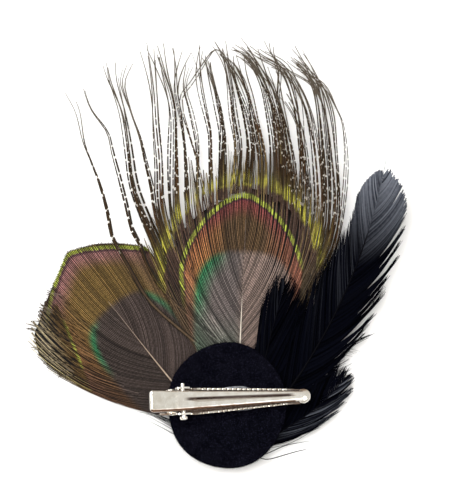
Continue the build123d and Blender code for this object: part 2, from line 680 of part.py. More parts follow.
def parts():
    """Every piece by the name of its node."""
    place = clip_place()
    return {
        "backing_disc": backing_disc(),
        "front_pad": front_pad(),
        "eye_feather_tall": eye_feather(
            TALL_EYE_ROOT, TALL_EYE_BEARING, TALL_EYE_LENGTH, TALL_EYE_FAN, TALL_EYE_LEVELS),
        "eye_feather_side": eye_feather(
            SIDE_EYE_ROOT, SIDE_EYE_BEARING, SIDE_EYE_LENGTH, SIDE_EYE_FAN, SIDE_EYE_LEVELS),
        "black_feather_long": black_feather(
            LONG_BLACK_ROOT, LONG_BLACK_BEARINGS, LONG_BLACK_LENGTH, LONG_BLACK_VANE, LONG_BLACK_LEVELS),
        "black_feather_short": black_feather(
            SHORT_BLACK_ROOT, SHORT_BLACK_BEARINGS, SHORT_BLACK_LENGTH, SHORT_BLACK_VANE,
            SHORT_BLACK_LEVELS, FINE_QUILL),
        "black_feather_low": black_feather(
            LOW_BLACK_ROOT, LOW_BLACK_BEARINGS, LOW_BLACK_LENGTH, LOW_BLACK_VANE, LOW_BLACK_LEVELS,
            FINE_QUILL),
        "clip_base": place * clip_base(),
        "clip_lever": place * clip_lever(),
        "clip_pin": place * clip_pin(),
        "clip_spring": place * clip_spring(),
        "glue_bead": place * glue(),
    }


os.makedirs("parts", exist_ok=True)
for node, shape in parts().items():
    export_step(shape, f"parts/{node}.step")
    box = shape.bounding_box()
    print(node, "volume", round(shape.volume, 2), "valid", shape.is_valid,
          "solids", len(shape.solids()), "z", round(box.min.Z, 2), round(box.max.Z, 2))
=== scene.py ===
"""Dresses the feather hair clip in Blender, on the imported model's own frame.

The clip lies on its front: two peacock eye feathers and three black feathers
come out between two rounds of black felt, and the metal clip is glued on top.
Shapes are worked out in millimetres and put into the meshes in metres.
"""

from __future__ import annotations

import logging
import math
from dataclasses import dataclass, field
from enum import Enum
from typing import Sequence, Union

import bpy
import numpy as np
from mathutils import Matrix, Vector

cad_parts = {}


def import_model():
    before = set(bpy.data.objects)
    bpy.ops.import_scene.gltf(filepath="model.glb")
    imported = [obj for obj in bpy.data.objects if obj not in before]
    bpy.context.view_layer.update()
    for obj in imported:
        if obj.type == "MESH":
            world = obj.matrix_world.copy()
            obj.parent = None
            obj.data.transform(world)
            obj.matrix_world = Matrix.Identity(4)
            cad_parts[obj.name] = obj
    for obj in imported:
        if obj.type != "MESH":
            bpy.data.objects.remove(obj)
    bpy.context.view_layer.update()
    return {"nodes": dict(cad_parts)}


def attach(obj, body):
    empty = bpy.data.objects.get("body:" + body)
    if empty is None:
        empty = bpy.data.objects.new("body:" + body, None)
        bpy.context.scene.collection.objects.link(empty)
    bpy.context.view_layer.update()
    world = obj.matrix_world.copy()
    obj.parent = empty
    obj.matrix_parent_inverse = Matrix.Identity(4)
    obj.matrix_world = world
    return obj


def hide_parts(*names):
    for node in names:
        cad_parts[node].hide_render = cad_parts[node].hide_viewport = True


LOG = logging.getLogger("feather_hair_clip")

MM = 0.001
SEED = 20
Array = np.ndarray
Draws = np.random.Generator
Output = bpy.types.NodeSocket
Piece = bpy.types.Object
Socket = Union[Output, float, tuple]
Pixel = tuple[float, float]
Pair = tuple[float, float]
Triple = tuple[float, float, float]
Colour = tuple[float, float, float, float]


class Body(Enum):
    """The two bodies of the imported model."""

    BASE = "base"
    LEVER = "lever"


class Side(Enum):
    """The side of a shaft that a barb grows on, left or right of its heading."""

    LEFT = 1
    RIGHT = -1


def paint(red: int, green: int, blue: int) -> Colour:
    """A screen colour of 0 to 255 as linear light.

    Args:
        red: red as a screen shows it.
        green: green as a screen shows it.
        blue: blue as a screen shows it.

    Returns:
        The linear colour with full alpha.
    """
    screen = np.array([red, green, blue]) / 255
    linear = np.where(screen < 0.04045, screen / 12.92, ((screen + 0.055) / 1.055) ** 2.4)
    return (float(linear[0]), float(linear[1]), float(linear[2]), 1.0)


def smoothstep(value: Array, low: Array | float, high: Array | float) -> Array:
    """Rises smoothly from 0 at low to 1 at high: 3p squared less 2p cubed."""
    part = np.clip((value - low) / (high - low), 0, 1)
    return part * part * (3 - 2 * part)


def headings(degrees: Array) -> Array:
    """Unit steps in the plane along bearings, as an array of (..., 2)."""
    angle = np.radians(degrees)
    return np.stack([np.cos(angle), np.sin(angle)], axis=-1)


def normalised(vectors: Array) -> Array:
    """Vectors brought to length 1."""
    return vectors / np.maximum(np.linalg.norm(vectors, axis=-1, keepdims=True), 1e-9)


def smooth_route(points: Sequence[Pixel], stations: Array) -> Array:
    """Points along a smooth line through a few given ones.

    Between two points, each coordinate is the cubic whose slopes there are half
    the step between their neighbours. The line is sampled finely and then read
    off at shares of its length.

    Args:
        points: the points that the line goes through.
        stations: shares of the line's length, of any shape.

    Returns:
        The places, as an array of stations' shape and 2.
    """
    given = np.array(points, dtype=float)
    padded = np.concatenate([2 * given[:1] - given[1:2], given, 2 * given[-1:] - given[-2:-1]])
    fine = np.linspace(0, len(given) - 1, 40 * len(given))
    index = np.minimum(fine.astype(int), len(given) - 2)
    part = (fine - index)[:, None]
    before, start, end, after = (padded[index + step] for step in range(4))
    line = 0.5 * (
        2 * start
        + (end - before) * part
        + (2 * before - 5 * start + 4 * end - after) * part**2
        + (3 * start - before - 3 * end + after) * part**3
    )
    run = np.concatenate([[0], np.cumsum(np.linalg.norm(np.diff(line, axis=0), axis=1))])
    run = run / run[-1]
    return np.stack([np.interp(stations, run, line[:, axis]) for axis in range(2)], axis=-1)


@dataclass(frozen=True)
class PhotoView:
    """How the photograph looks at the part: from above, tilted a little towards the clip.

    Wide, high and middle are in pixels, and pixel is how many mm one shows. Level
    is the height above the floor that the middle is at, and distance is the
    camera's, both in mm.
    """

    wide: int = 468
    high: int = 500
    pixel: float = 0.37
    elevation: float = 81.0
    middle: Pixel = (227.0, 404.5)
    level: float = 4.6
    distance: float = 1500.0

    def place(self, pixels: Array, heights: Array) -> Array:
        """The places in space that show at pixels, when their heights are known.

        Args:
            pixels: pixel columns and rows, as an array of (..., 2).
            heights: heights above the floor in mm.

        Returns:
            The points in mm, as an array of (..., 3).
        """
        tilt = math.radians(self.elevation)
        across = (pixels[..., 0] - self.middle[0]) * self.pixel
        up = (self.middle[1] - pixels[..., 1]) * self.pixel
        away = (up - (heights - self.level) * math.cos(tilt)) / math.sin(tilt)
        return np.stack([across, away, heights + 0 * across], axis=-1)

    def build_camera(self) -> None:
        """Makes the camera that frames the part as the photograph does."""
        tilt = math.radians(self.elevation)
        middle = np.array([[self.wide / 2, self.high / 2]])
        target = self.place(middle, np.array([self.level]))[0]
        data = bpy.data.cameras.new("photo_camera")
        data.sensor_fit = "VERTICAL"
        data.sensor_height = 24.0
        data.lens = data.sensor_height * self.distance / (self.high * self.pixel)
        data.clip_start = 0.05
        data.clip_end = 20.0
        camera = bpy.data.objects.new("photo_camera", data)
        offset = np.array([0, -math.cos(tilt), math.sin(tilt)]) * self.distance
        camera.location = (target + offset) * MM
        camera.rotation_euler = (math.radians(90 - self.elevation), 0, 0)
        bpy.context.scene.collection.objects.link(camera)
        bpy.context.scene.camera = camera


class Graph:
    """A node graph of a material or of the world, written as short calls."""

    def __init__(self, name: str, world: bool = False) -> None:
        """Starts an empty graph.

        Args:
            name: the name of the material or the world.
            world: whether it is the world's.
        """
        self.owner = (bpy.data.worlds if world else bpy.data.materials).new(name)
        self.owner.use_nodes = True
        self.tree = self.owner.node_tree
        self.tree.nodes.clear()
        self.output = self.tree.nodes.new("ShaderNodeOutputWorld" if world else "ShaderNodeOutputMaterial")

    def join(self, socket: Output, value: Socket) -> None:
        """Links a socket to another, or sets its value.

        Args:
            socket: the input that is fed.
            value: the output that feeds it, or a plain value.
        """
        if isinstance(value, Output):
            self.tree.links.new(value, socket)
        else:
            socket.default_value = value

    def math(self, operation: str, first: Socket, second: Socket = 0.0) -> Output:
        """One step of arithmetic.

        Args:
            operation: the Math node's operation.
            first: its first value.
            second: its second value, where the operation has one.

        Returns:
            The result's socket.
        """
        node = self.tree.nodes.new("ShaderNodeMath")
        node.operation = operation
        self.join(node.inputs[0], first)
        self.join(node.inputs[1], second)
        return node.outputs[0]

    def plus(self, first: Socket, second: Socket) -> Output:
        """The sum of two numbers."""
        return self.math("ADD", first, second)

    def minus(self, first: Socket, second: Socket) -> Output:
        """The first number less the second."""
        return self.math("SUBTRACT", first, second)

    def times(self, first: Socket, second: Socket) -> Output:
        """The product of two numbers."""
        return self.math("MULTIPLY", first, second)

    def span(self, value: Socket, low: float, high: float, start: float = 0.0, end: float = 1.0) -> Output:
        """Maps a value smoothly from low..high to start..end.

        Args:
            value: the value to map.
            low: where the result is start.
            high: where the result is end.
            start: the result at low and before.
            end: the result at high and after.

        Returns:
            The result's socket.
        """
        node = self.tree.nodes.new("ShaderNodeMapRange")
        node.interpolation_type = "SMOOTHSTEP"
        self.join(node.inputs["Value"], value)
        node.inputs["From Min"].default_value = low
        node.inputs["From Max"].default_value = high
        node.inputs["To Min"].default_value = start
        node.inputs["To Max"].default_value = end
        return node.outputs[0]

    def mark(self, name: str) -> Output:
        """A number that the mesh carries at its points.

        Args:
            name: the number's name.

        Returns:
            The number's socket.
        """
        node = self.tree.nodes.new("ShaderNodeAttribute")
        node.attribute_name = name
        return node.outputs["Fac"]

    def place(self) -> Output:
        """The place on the object, in metres."""
        return self.tree.nodes.new("ShaderNodeTexCoord").outputs["Object"]

    def vector(self, first: Socket, second: Socket, third: Socket = 0.0) -> Output:
        """A vector of three numbers.

        Args:
            first: its X.
            second: its Y.
            third: its Z.

        Returns:
            The vector's socket.
        """
        node = self.tree.nodes.new("ShaderNodeCombineXYZ")
        for socket, value in zip(node.inputs, (first, second, third)):
            self.join(socket, value)
        return node.outputs[0]

    def parts(self, vector: Socket) -> bpy.types.NodeOutputs:
        """A vector's numbers.

        Args:
            vector: the vector.

        Returns:
            Their sockets by X, Y and Z.
        """
        node = self.tree.nodes.new("ShaderNodeSeparateXYZ")
        self.join(node.inputs[0], vector)
        return node.outputs

    def stretched(self, vector: Socket, turn: float, size: Triple) -> Output:
        """A vector scaled along each axis and turned about Z, for a pattern with a grain.

        Args:
            vector: the vector.
            turn: the grain's bearing in degrees.
            size: the scale along and across the grain, and in height.

        Returns:
            The new vector's socket.
        """
        turned = self.tree.nodes.new("ShaderNodeMapping")
        self.join(turned.inputs["Vector"], vector)
        turned.inputs["Rotation"].default_value = (0, 0, -math.radians(turn))
        scaled = self.tree.nodes.new("ShaderNodeMapping")
        self.join(scaled.inputs["Vector"], turned.outputs[0])
        scaled.inputs["Scale"].default_value = size
        return scaled.outputs[0]

    def noise(self, vector: Socket, scale: float, detail: float = 2.0, rough: float = 0.5) -> Output:
        """Cloudy noise between 0 and 1.

        Args:
            vector: where it is read.
            scale: how many clouds there are to a unit.
            detail: how many finer layers it has.
            rough: how strong those are.

        Returns:
            The noise's socket.
        """
        node = self.tree.nodes.new("ShaderNodeTexNoise")
        self.join(node.inputs["Vector"], vector)
        node.inputs["Scale"].default_value = scale
        node.inputs["Detail"].default_value = detail
        node.inputs["Roughness"].default_value = rough
        return node.outputs[0]

    def ramp(self, value: Socket, stops: Sequence[tuple[float, Colour]]) -> Output:
        """Colours that follow a value.

        Args:
            value: the value, from 0 to 1.
            stops: pairs of a value and its colour, in rising order.

        Returns:
            The colour's socket.
        """
        node = self.tree.nodes.new("ShaderNodeValToRGB")
        self.join(node.inputs[0], value)
        elements = node.color_ramp.elements
        while len(elements) < len(stops):
            elements.new(0.5)
        for element, (place, colour) in zip(elements, stops):
            element.position = place
            element.color = colour
        return node.outputs[0]

    def mix(self, share: Socket, first: Socket, second: Socket, blend: str = "MIX") -> Output:
        """Two colours mixed.

        Args:
            share: how much of the second is used.
            first: the first colour.
            second: the second colour.
            blend: the Mix node's blend type.

        Returns:
            The colour's socket.
        """
        node = self.tree.nodes.new("ShaderNodeMix")
        node.data_type = "RGBA"
        node.blend_type = blend
        self.join(node.inputs[0], share)
        self.join(node.inputs[6], first)
        self.join(node.inputs[7], second)
        return node.outputs[2]

    def grey(self, value: Socket) -> Output:
        """A number as a grey colour."""
        return self.vector(value, value, value)

    def bump(self, height: Socket, strength: float, distance: float) -> Output:
        """A bent normal from a height.

        Args:
            height: the height.
            strength: how much of the bend is used.
            distance: the height of a full step, in metres.

        Returns:
            The normal's socket.
        """
        node = self.tree.nodes.new("ShaderNodeBump")
        node.inputs["Strength"].default_value = strength
        node.inputs["Distance"].default_value = distance
        self.join(node.inputs["Height"], height)
        return node.outputs[0]

    def finish(self, **settings: Socket) -> bpy.types.Material:
        """Closes the graph with one Principled shader.

        Args:
            settings: the shader's inputs by name, with underscores for spaces.

        Returns:
            The material.
        """
        shader = self.tree.nodes.new("ShaderNodeBsdfPrincipled")
        for name, value in settings.items():
            self.join(shader.inputs[name.replace("_", " ")], value)
        self.tree.links.new(shader.outputs[0], self.output.inputs["Surface"])
        return self.owner


def put_mesh(name: str, points: Array, faces: Sequence[Array], marks: dict[str, Array],
             smooth: bool = False) -> Piece:
    """Puts points and faces into a new mesh object at the origin.

    Args:
        name: the piece's name.
        points: the points in mm, as an array of (n, 3).
        faces: arrays of faces, each with rows of as many point numbers as a face has corners.
        marks: numbers at the points by name.
        smooth: whether the faces are shaded smooth.

    Returns:
        The piece.
    """
    mesh = bpy.data.meshes.new(name)
    corners = np.concatenate([rows.ravel() for rows in faces]).astype(np.int32)
    counts = np.concatenate([np.full(len(rows), rows.shape[1]) for rows in faces])
    starts = np.concatenate([[0], np.cumsum(counts)[:-1]]).astype(np.int32)
    mesh.vertices.add(len(points))
    mesh.vertices.foreach_set("co", (points * MM).astype(np.float32).ravel())
    mesh.loops.add(len(corners))
    mesh.loops.foreach_set("vertex_index", corners)
    mesh.polygons.add(len(counts))
    mesh.polygons.foreach_set("loop_start", starts)
    mesh.polygons.foreach_set("use_smooth", np.full(len(counts), smooth))
    for mark, values in marks.items():
        layer = mesh.attributes.new(mark, "FLOAT", "POINT")
        layer.data.foreach_set("value", values.astype(np.float32).ravel())
    mesh.update(calc_edges=True)
    mesh.validate()
    piece = bpy.data.objects.new(name, mesh)
    bpy.context.scene.collection.objects.link(piece)
    return piece


# A barb's section: flat underneath, with a low ridge along its middle
RIBBON = np.array([(1.0, 0.0), (0.0, 0.55), (-1.0, 0.0)])


def round_section(sides: int) -> Array:
    """The corners of a round section, from its left side over its top."""
    angle = 2 * np.pi * np.arange(sides) / sides
    return np.stack([np.cos(angle), np.sin(angle)], axis=-1)


@dataclass
class Strands:
    """Thin closed strips, each a section carried along its own path.

    A corner of a strip is its path's point, plus its half width times the
    section's first number along the strip's left side and its second number
    along the strip's top side. The left side is level, and the roll tips it.
    """

    paths: Array
    half: Array
    section: Array = field(default_factory=lambda: RIBBON)
    roll: Array | None = None
    marks: dict[str, Array] = field(default_factory=dict)

    def build(self, name: str, smooth: bool = False) -> Piece:
        """Makes the strips into one mesh.

        Args:
            name: the piece's name.
            smooth: whether they are shaded smooth.

        Returns:
            The piece.
        """
        strips, stations, corners = *self.paths.shape[:2], len(self.section)
        ahead = normalised(np.gradient(self.paths, axis=1))
        left = normalised(np.cross(np.array([0, 0, 1.0]), ahead))
        top = np.cross(ahead, left)
        if self.roll is not None:
            turn = self.roll[:, None, None]
            left, top = left * np.cos(turn) + top * np.sin(turn), top * np.cos(turn) - left * np.sin(turn)
        aside = left[:, :, None] * self.section[None, None, :, :1]
        above = top[:, :, None] * self.section[None, None, :, 1:]
        points = self.paths[:, :, None] + self.half[:, :, None, None] * (aside + above)
        number = np.arange(strips * stations * corners).reshape(strips, stations, corners)
        after = np.roll(number, -1, axis=2)
        walls = np.stack([number[:, :-1], after[:, :-1], after[:, 1:], number[:, 1:]], axis=-1)
        faces = [walls.reshape(-1, 4), number[:, 0, ::-1], number[:, -1]]
        marks = {mark: self.spread(values, corners) for mark, values in self.marks.items()}
        marks["edge"] = np.broadcast_to(self.section[:, 0], points.shape[:3])
        return put_mesh(name, points.reshape(-1, 3), faces, marks, smooth)

    def spread(self, values: Array, corners: int) -> Array:
        """Numbers of each strip, or of each of its stations, given to all corners.

        Args:
            values: the numbers, as (strips,) or (strips, stations).
            corners: how many corners the section has.

        Returns:
            The numbers, as (strips, stations, corners).
        """
        table = values[:, None] if values.ndim == 1 else values
        return np.broadcast_to(table[:, :, None], (*self.paths.shape[:2], corners))


def joined(sets: Sequence[Strands]) -> Strands:
    """Sets of strips with as many stations each, put together.

    Args:
        sets: the sets, all with one section and the same marks.

    Returns:
        One set of all the strips.
    """
    rolls = [strands.roll for strands in sets]
    return Strands(
        np.concatenate([strands.paths for strands in sets]),
        np.concatenate([strands.half for strands in sets]),
        sets[0].section,
        None if rolls[0] is None else np.concatenate(rolls),
        {mark: np.concatenate([strands.marks[mark] for strands in sets]) for mark in sets[0].marks},
    )


def turned_shell(name: str, rings: Array, bottom: Array, top: Array) -> Piece:
    """A closed smooth shell of rings, each anticlockwise from above, with a point at each end.

    Args:
        name: the piece's name.
        rings: the rings from bottom to top, as (rings, around, 3).
        bottom: the lowest point.
        top: the highest point.

    Returns:
        The piece.
    """
    count, around = rings.shape[:2]
    number = np.arange(count * around).reshape(count, around)
    after = np.roll(number, -1, axis=1)
    walls = np.stack([number[:-1], after[:-1], after[1:], number[1:]], axis=-1).reshape(-1, 4)
    low = np.full(around, count * around)
    high = low + 1
    feet = np.stack([after[0], number[0], low], axis=-1)
    caps = np.stack([number[-1], after[-1], high], axis=-1)
    points = np.concatenate([rings.reshape(-1, 3), [bottom], [top]])
    return put_mesh(name, points, [walls, feet, caps], {}, smooth=True)


def thin_shell(name: str, upper: Array, thick: float, marks: dict[str, Array]) -> Piece:
    """A closed thin sheet under a grid of points, its rim walled.

    Args:
        name: the piece's name.
        upper: the upper face's points, as (rows, columns, 3), columns to the left of rows.
        thick: how thick the sheet is.
        marks: numbers at the upper points by name.

    Returns:
        The piece.
    """
    rows, columns = upper.shape[:2]
    lower = upper - np.array([0, 0, thick])
    number = np.arange(rows * columns).reshape(rows, columns)
    below = number + rows * columns
    tops = np.stack([number[:-1, :-1], number[1:, :-1], number[1:, 1:], number[:-1, 1:]], axis=-1)
    rim = np.concatenate([number[0, :-1], number[:-1, -1], number[-1, :0:-1], number[:0:-1, 0]])
    onward = np.roll(rim, -1)
    walls = np.stack([rim, onward, onward + rows * columns, rim + rows * columns], axis=-1)
    bottoms = np.stack([below[:-1, :-1], below[:-1, 1:], below[1:, 1:], below[1:, :-1]], axis=-1)
    points = np.concatenate([upper.reshape(-1, 3), lower.reshape(-1, 3)])
    faces = [tops.reshape(-1, 4), bottoms.reshape(-1, 4), walls]
    doubled = {mark: np.concatenate([values.ravel(), values.ravel()]) for mark, values in marks.items()}
    return put_mesh(name, points, faces, doubled, smooth=True)


@dataclass(frozen=True)
class Ring:
    """A closed curve on an eye feather, in mm from the feather's root.

    Its distance is 1 on the curve: the power-th root of the sum of the shares
    of the half width and of the half length, each to that power.
    """

    across: float
    ahead: float
    half_wide: float
    half_up: float
    half_down: float
    power: float

    def distance(self, graph: Graph, across: Socket, ahead: Socket) -> Output:
        """Nodes for the distance.

        Args:
            graph: the graph to add to.
            across: how far left of the shaft the place is.
            ahead: how far along the shaft it is.

        Returns:
            The distance's socket.
        """
        aside = graph.math("ABSOLUTE", graph.minus(across, self.across))
        along = graph.minus(ahead, self.ahead)
        above = graph.math("MAXIMUM", along, 0.0)
        below = graph.math("MAXIMUM", graph.times(along, -1.0), 0.0)
        up = graph.plus(graph.math("DIVIDE", above, self.half_up),
                        graph.math("DIVIDE", below, self.half_down))
        wide = graph.math("DIVIDE", aside, self.half_wide)
        total = graph.plus(graph.math("POWER", wide, self.power),
                           graph.math("POWER", up, self.power))
        return graph.math("POWER", total, 1 / self.power)


@dataclass(frozen=True)
class PeacockFinish:
    """The eye pattern of a peacock feather, seen from the back.

    Barbs carry where they are (across and ahead, in mm from the root), a random
    tone each, how far off their ridge a corner is (edge) and, on loose herl,
    whether a place is a dark tuft or the bare pale rib between two (dash).

    Line_low is where along the feather the yellow line ends on the left and on
    the right, and line_band is half its width. Crescent is where across the green
    starts and how far into the heart it reaches, green_span where along it fades
    in, low_green what is left of it before that, and twin its share on the right.
    Flank is the trimmed side's slanting line, and trim_far how far beyond it the
    barbs turn pale. Dim is how bright the whole is. Places and widths along and
    across are in mm, and those about a Ring are in its own distance.
    """

    name: str
    line: Ring
    outer: Ring
    heart: Ring
    crescent: Pair
    line_low: Pair
    green_span: Pair = (-8.0, 6.0)
    flank: Triple = (0.0, 200.0, 0.0)
    trim_far: Pair = (2.0, 12.0)
    streak_reach: Pair = (41.0, 62.0)
    dim: float = 1.12
    flank_left: Colour = paint(88, 71, 54)
    flank_right: Colour = paint(70, 58, 42)
    low_field: Colour = paint(104, 82, 68)
    low_tint: float = 0.55
    low_green: float = 0.25
    twin: float = 0.0
    line_band: float = 0.038
    warm: Colour = paint(152, 104, 64)
    warm_right: Colour = paint(126, 84, 64)
    bronze: Colour = paint(88, 68, 46)
    wine: Colour = paint(116, 60, 58)
    line_colour: Colour = paint(142, 152, 60)
    outer_colour: Colour = paint(152, 146, 58)
    heart_left: Colour = paint(108, 99, 97)
    heart_right: Colour = paint(132, 114, 106)
    green: Colour = paint(40, 110, 72)
    low_heart: Colour = paint(84, 108, 88)
    flank_far: Colour = paint(66, 52, 40)
    rim_colour: Colour = paint(62, 38, 52)
    broken_colour: Colour = paint(60, 45, 28)
    olive_near: Colour = paint(104, 90, 54)
    olive_far: Colour = paint(80, 70, 44)
    trim_near_colour: Colour = paint(90, 68, 38)
    trim_far_colour: Colour = paint(162, 150, 122)
    trim_dark: Colour = paint(62, 50, 34)
    trim_pale: Colour = paint(150, 142, 92)
    rib_colour: Colour = paint(186, 176, 160)

    def material(self) -> bpy.types.Material:
        """Builds the material.

        Returns:
            The material.
        """
        graph = Graph(self.name)
        tone = graph.mark("tone")
        across = graph.mark("across")
        jitter = graph.times(graph.minus(tone, 0.5), 0.4)
        ahead = graph.plus(graph.mark("ahead"), jitter)
        line = self.line.distance(graph, across, ahead)
        outer = self.outer.distance(graph, across, ahead)
        heart = self.heart.distance(graph, across, ahead)

        inside = self.inside(graph, across, ahead, line, heart)
        patch = graph.noise(graph.vector(across, graph.times(ahead, 0.25)), 0.45, 2.0)
        shifted = graph.plus(outer, graph.span(patch, 0.3, 0.7, -0.035, 0.035))
        outside = graph.ramp(graph.times(shifted, 0.5), [
            (0.0, paint(66, 48, 44)),
            (0.468, paint(72, 54, 45)),
            (0.487, self.outer_colour),
            (0.513, self.outer_colour),
            (0.55, paint(80, 68, 38)),
            (0.62, paint(64, 42, 21)),
            (1.0, paint(66, 44, 22)),
        ])
        olive = graph.times(graph.span(tone, 0.6, 0.75), graph.span(patch, 0.35, 0.6, 0.2, 0.8))
        olive_colour = graph.mix(graph.span(outer, 1.1, 1.6), self.olive_near, self.olive_far)
        outside = graph.mix(olive, outside, olive_colour)
        broken = graph.times(graph.span(tone, 0.4, 0.25), graph.span(outer, 0.94, 0.97))
        outside = graph.mix(graph.times(broken, 0.8), outside, self.broken_colour)
        side = graph.span(across, -1.0, 1.0)
        left_low = graph.span(ahead, self.line_low[0] - 8, self.line_low[0] + 4)
        right_low = graph.span(ahead, self.line_low[1] - 6, self.line_low[1] + 3)
        low = graph.plus(graph.times(left_low, side), graph.times(right_low, graph.minus(1.0, side)))
        flank = graph.mix(side, self.flank_right, self.flank_left)
        flank = graph.mix(graph.span(ahead, 36.0, 62.0, 0.0, 0.6), flank, self.flank_far)
        outside = graph.mix(low, flank, outside)
        colour = graph.mix(graph.span(line, 0.985, 1.015), inside, outside)
        colour = self.trimmed(graph, across, ahead, tone, colour)
        rim = graph.times(graph.span(line, 0.925, 0.95), graph.span(line, 0.985, 0.96))
        rim = graph.times(rim, low)
        colour = graph.mix(graph.times(rim, 0.8), colour, self.rim_colour)
        inner, outer_edge = 1 - self.line_band, 1 + self.line_band
        band = graph.times(graph.span(line, inner, inner + 0.023),
                           graph.span(line, outer_edge, outer_edge - 0.025))
        band = graph.times(band, low)
        band = graph.times(band, graph.span(tone, -0.2, 0.5, 0.5, 1.0))
        colour = graph.mix(band, colour, self.line_colour)

        streaks = graph.vector(graph.times(ahead, 0.9), across, graph.times(tone, 60.0))
        grain = graph.noise(streaks, 2.2, 3.0, 0.6)
        vivid = graph.times(graph.span(tone, -1.0, 0.0, 0.12, 0.6), graph.span(tone, 0.0, 1.0, 1.0, 2.3))
        shade = graph.times(vivid, graph.span(grain, 0.25, 0.75, 0.6, 1.4))
        # Painted shade and highlight: a barb is lighter along its ridge and much darker towards its edges,
        # for the shade between barbs
        edge = graph.math("ABSOLUTE", graph.mark("edge"))
        shade = graph.times(shade, graph.span(edge, 0.1, 0.9, 1.3, 0.16))
        shade = graph.times(shade, self.dim)
        colour = graph.mix(1.0, colour, graph.grey(shade), "MULTIPLY")
        colour = graph.mix(graph.mark("dash"), self.rib_colour, colour)
        return graph.finish(Base_Color=colour, Roughness=0.55, Specular_IOR_Level=0.08)

    def trimmed(self, graph: Graph, across: Socket, ahead: Socket, tone: Socket,
                colour: Socket) -> Output:
        """The plain barbs beyond a slanting line on the left, with a yellow streak along it.

        The line's place across is flank's second number, plus its third for
        each millimetre below its first.

        Args:
            graph: the graph to add to.
            across: how far left of the shaft the place is.
            ahead: how far along the shaft it is.
            tone: the barb's tone.
            colour: the colour without the trim.

        Returns:
            The colour's socket.
        """
        top, start, slope = self.flank
        line = graph.plus(start, graph.times(graph.minus(top, ahead), slope))
        beyond = graph.minus(across, line)
        plain = graph.mix(graph.span(beyond, *self.trim_far), self.trim_near_colour, self.trim_far_colour)
        plain = graph.mix(graph.span(tone, -0.2, 0.5), self.trim_dark, plain)
        plain = graph.mix(graph.times(graph.span(tone, 0.75, 0.95), 0.6), plain, self.trim_pale)
        below = graph.span(ahead, top - 1.0, top - 4.0)
        colour = graph.mix(graph.times(graph.span(beyond, -0.4, 0.4), below), colour, plain)
        streak = graph.times(graph.span(beyond, -0.7, -0.2), graph.span(beyond, 0.8, 0.2))
        streak = graph.times(streak, graph.span(tone, 0.1, 0.5, 0.3, 0.85))
        first, last = self.streak_reach
        reach = graph.times(graph.span(ahead, first, first + 4.0), graph.span(ahead, last, last - 4.0))
        streak = graph.times(streak, reach)
        return graph.mix(streak, colour, self.line_colour)

    def inside(self, graph: Graph, across: Socket, ahead: Socket, line: Socket,
               heart: Socket) -> Output:
        """The colours inside the yellow line: bronze field, green crescent, grey heart.

        Args:
            graph: the graph to add to.
            across: how far left of the shaft the place is.
            ahead: how far along the shaft it is.
            line: the distance of the yellow line.
            heart: the distance of the heart.

        Returns:
            The colour's socket.
        """
        middle = graph.math("ABSOLUTE", graph.math("DIVIDE", across, self.line.half_wide))
        warm = graph.mix(graph.span(across, -3.0, 3.0), self.warm_right, self.warm)
        field_colour = graph.mix(graph.span(middle, 0.25, 0.7), self.bronze, warm)
        wine = graph.times(graph.span(line, 0.68, 0.92),
                           graph.span(ahead, self.line.ahead + 8.0, self.line.ahead + 22.0, 0.3, 1.0))
        field_colour = graph.mix(wine, field_colour, self.wine)
        low_warm = graph.span(ahead, self.heart.ahead + 16.0, self.heart.ahead - 6.0)
        field_colour = graph.mix(graph.times(low_warm, 0.85), field_colour, self.low_field)
        left = graph.span(across, -2.0, 3.0)
        heart_colour = graph.mix(left, self.heart_right, self.heart_left)
        low = graph.span(ahead, self.heart.ahead, self.heart.ahead - 22.0)
        tint = graph.times(graph.times(low, left), self.low_tint)
        heart_colour = graph.mix(tint, heart_colour, self.low_heart)
        edge, reach = self.crescent
        flanks = graph.math("MAXIMUM", graph.span(across, edge - 4.0, edge + 4.0),
                            graph.span(across, -11.0, -14.0, 0.0, self.twin))
        fade = graph.times(graph.span(heart, 1.0 - reach, 0.98), flanks)
        start, end = (self.heart.ahead + place for place in self.green_span)
        fade = graph.times(fade, graph.span(ahead, start, end, self.low_green, 1.0))
        heart_colour = graph.mix(fade, heart_colour, self.green)
        return graph.mix(graph.span(heart, 1.07, 0.92), field_colour, heart_colour)


@dataclass(frozen=True)
class BlackFeatherFinish:
    """Dyed black barbs: nearly black, with a cold sheen, and paler grey where the thin mark rises: the
    thin tip, and painted sheen streaks.
    """

    name: str = "black_barbs"
    dark: Colour = paint(0, 0, 1)
    sheen: Colour = paint(5, 6, 14)
    thin_dark: Colour = paint(46, 49, 58)
    thin_pale: Colour = paint(114, 118, 128)
    rough: Pair = (0.42, 0.6)
    gloss: float = 0.004

    def material(self) -> bpy.types.Material:
        """Builds the material.

        Returns:
            The material.
        """
        graph = Graph(self.name)
        tone = graph.mark("tone")
        thin = graph.mark("thin")
        place = graph.place()
        grain = graph.noise(place, 900.0, 3.0, 0.6)
        shade = graph.span(graph.plus(tone, graph.times(grain, 0.5)), 0.2, 1.3)
        full = graph.mix(shade, self.dark, self.sheen)
        # The thin mark pales the barbs towards the tip and, on streaked barbs, is a painted sheen
        colour = graph.mix(thin, full, graph.mix(shade, self.thin_dark, self.thin_pale))
        rough = graph.span(grain, 0.2, 0.8, *self.rough)
        return graph.finish(Base_Color=colour, Roughness=rough, Specular_IOR_Level=self.gloss)


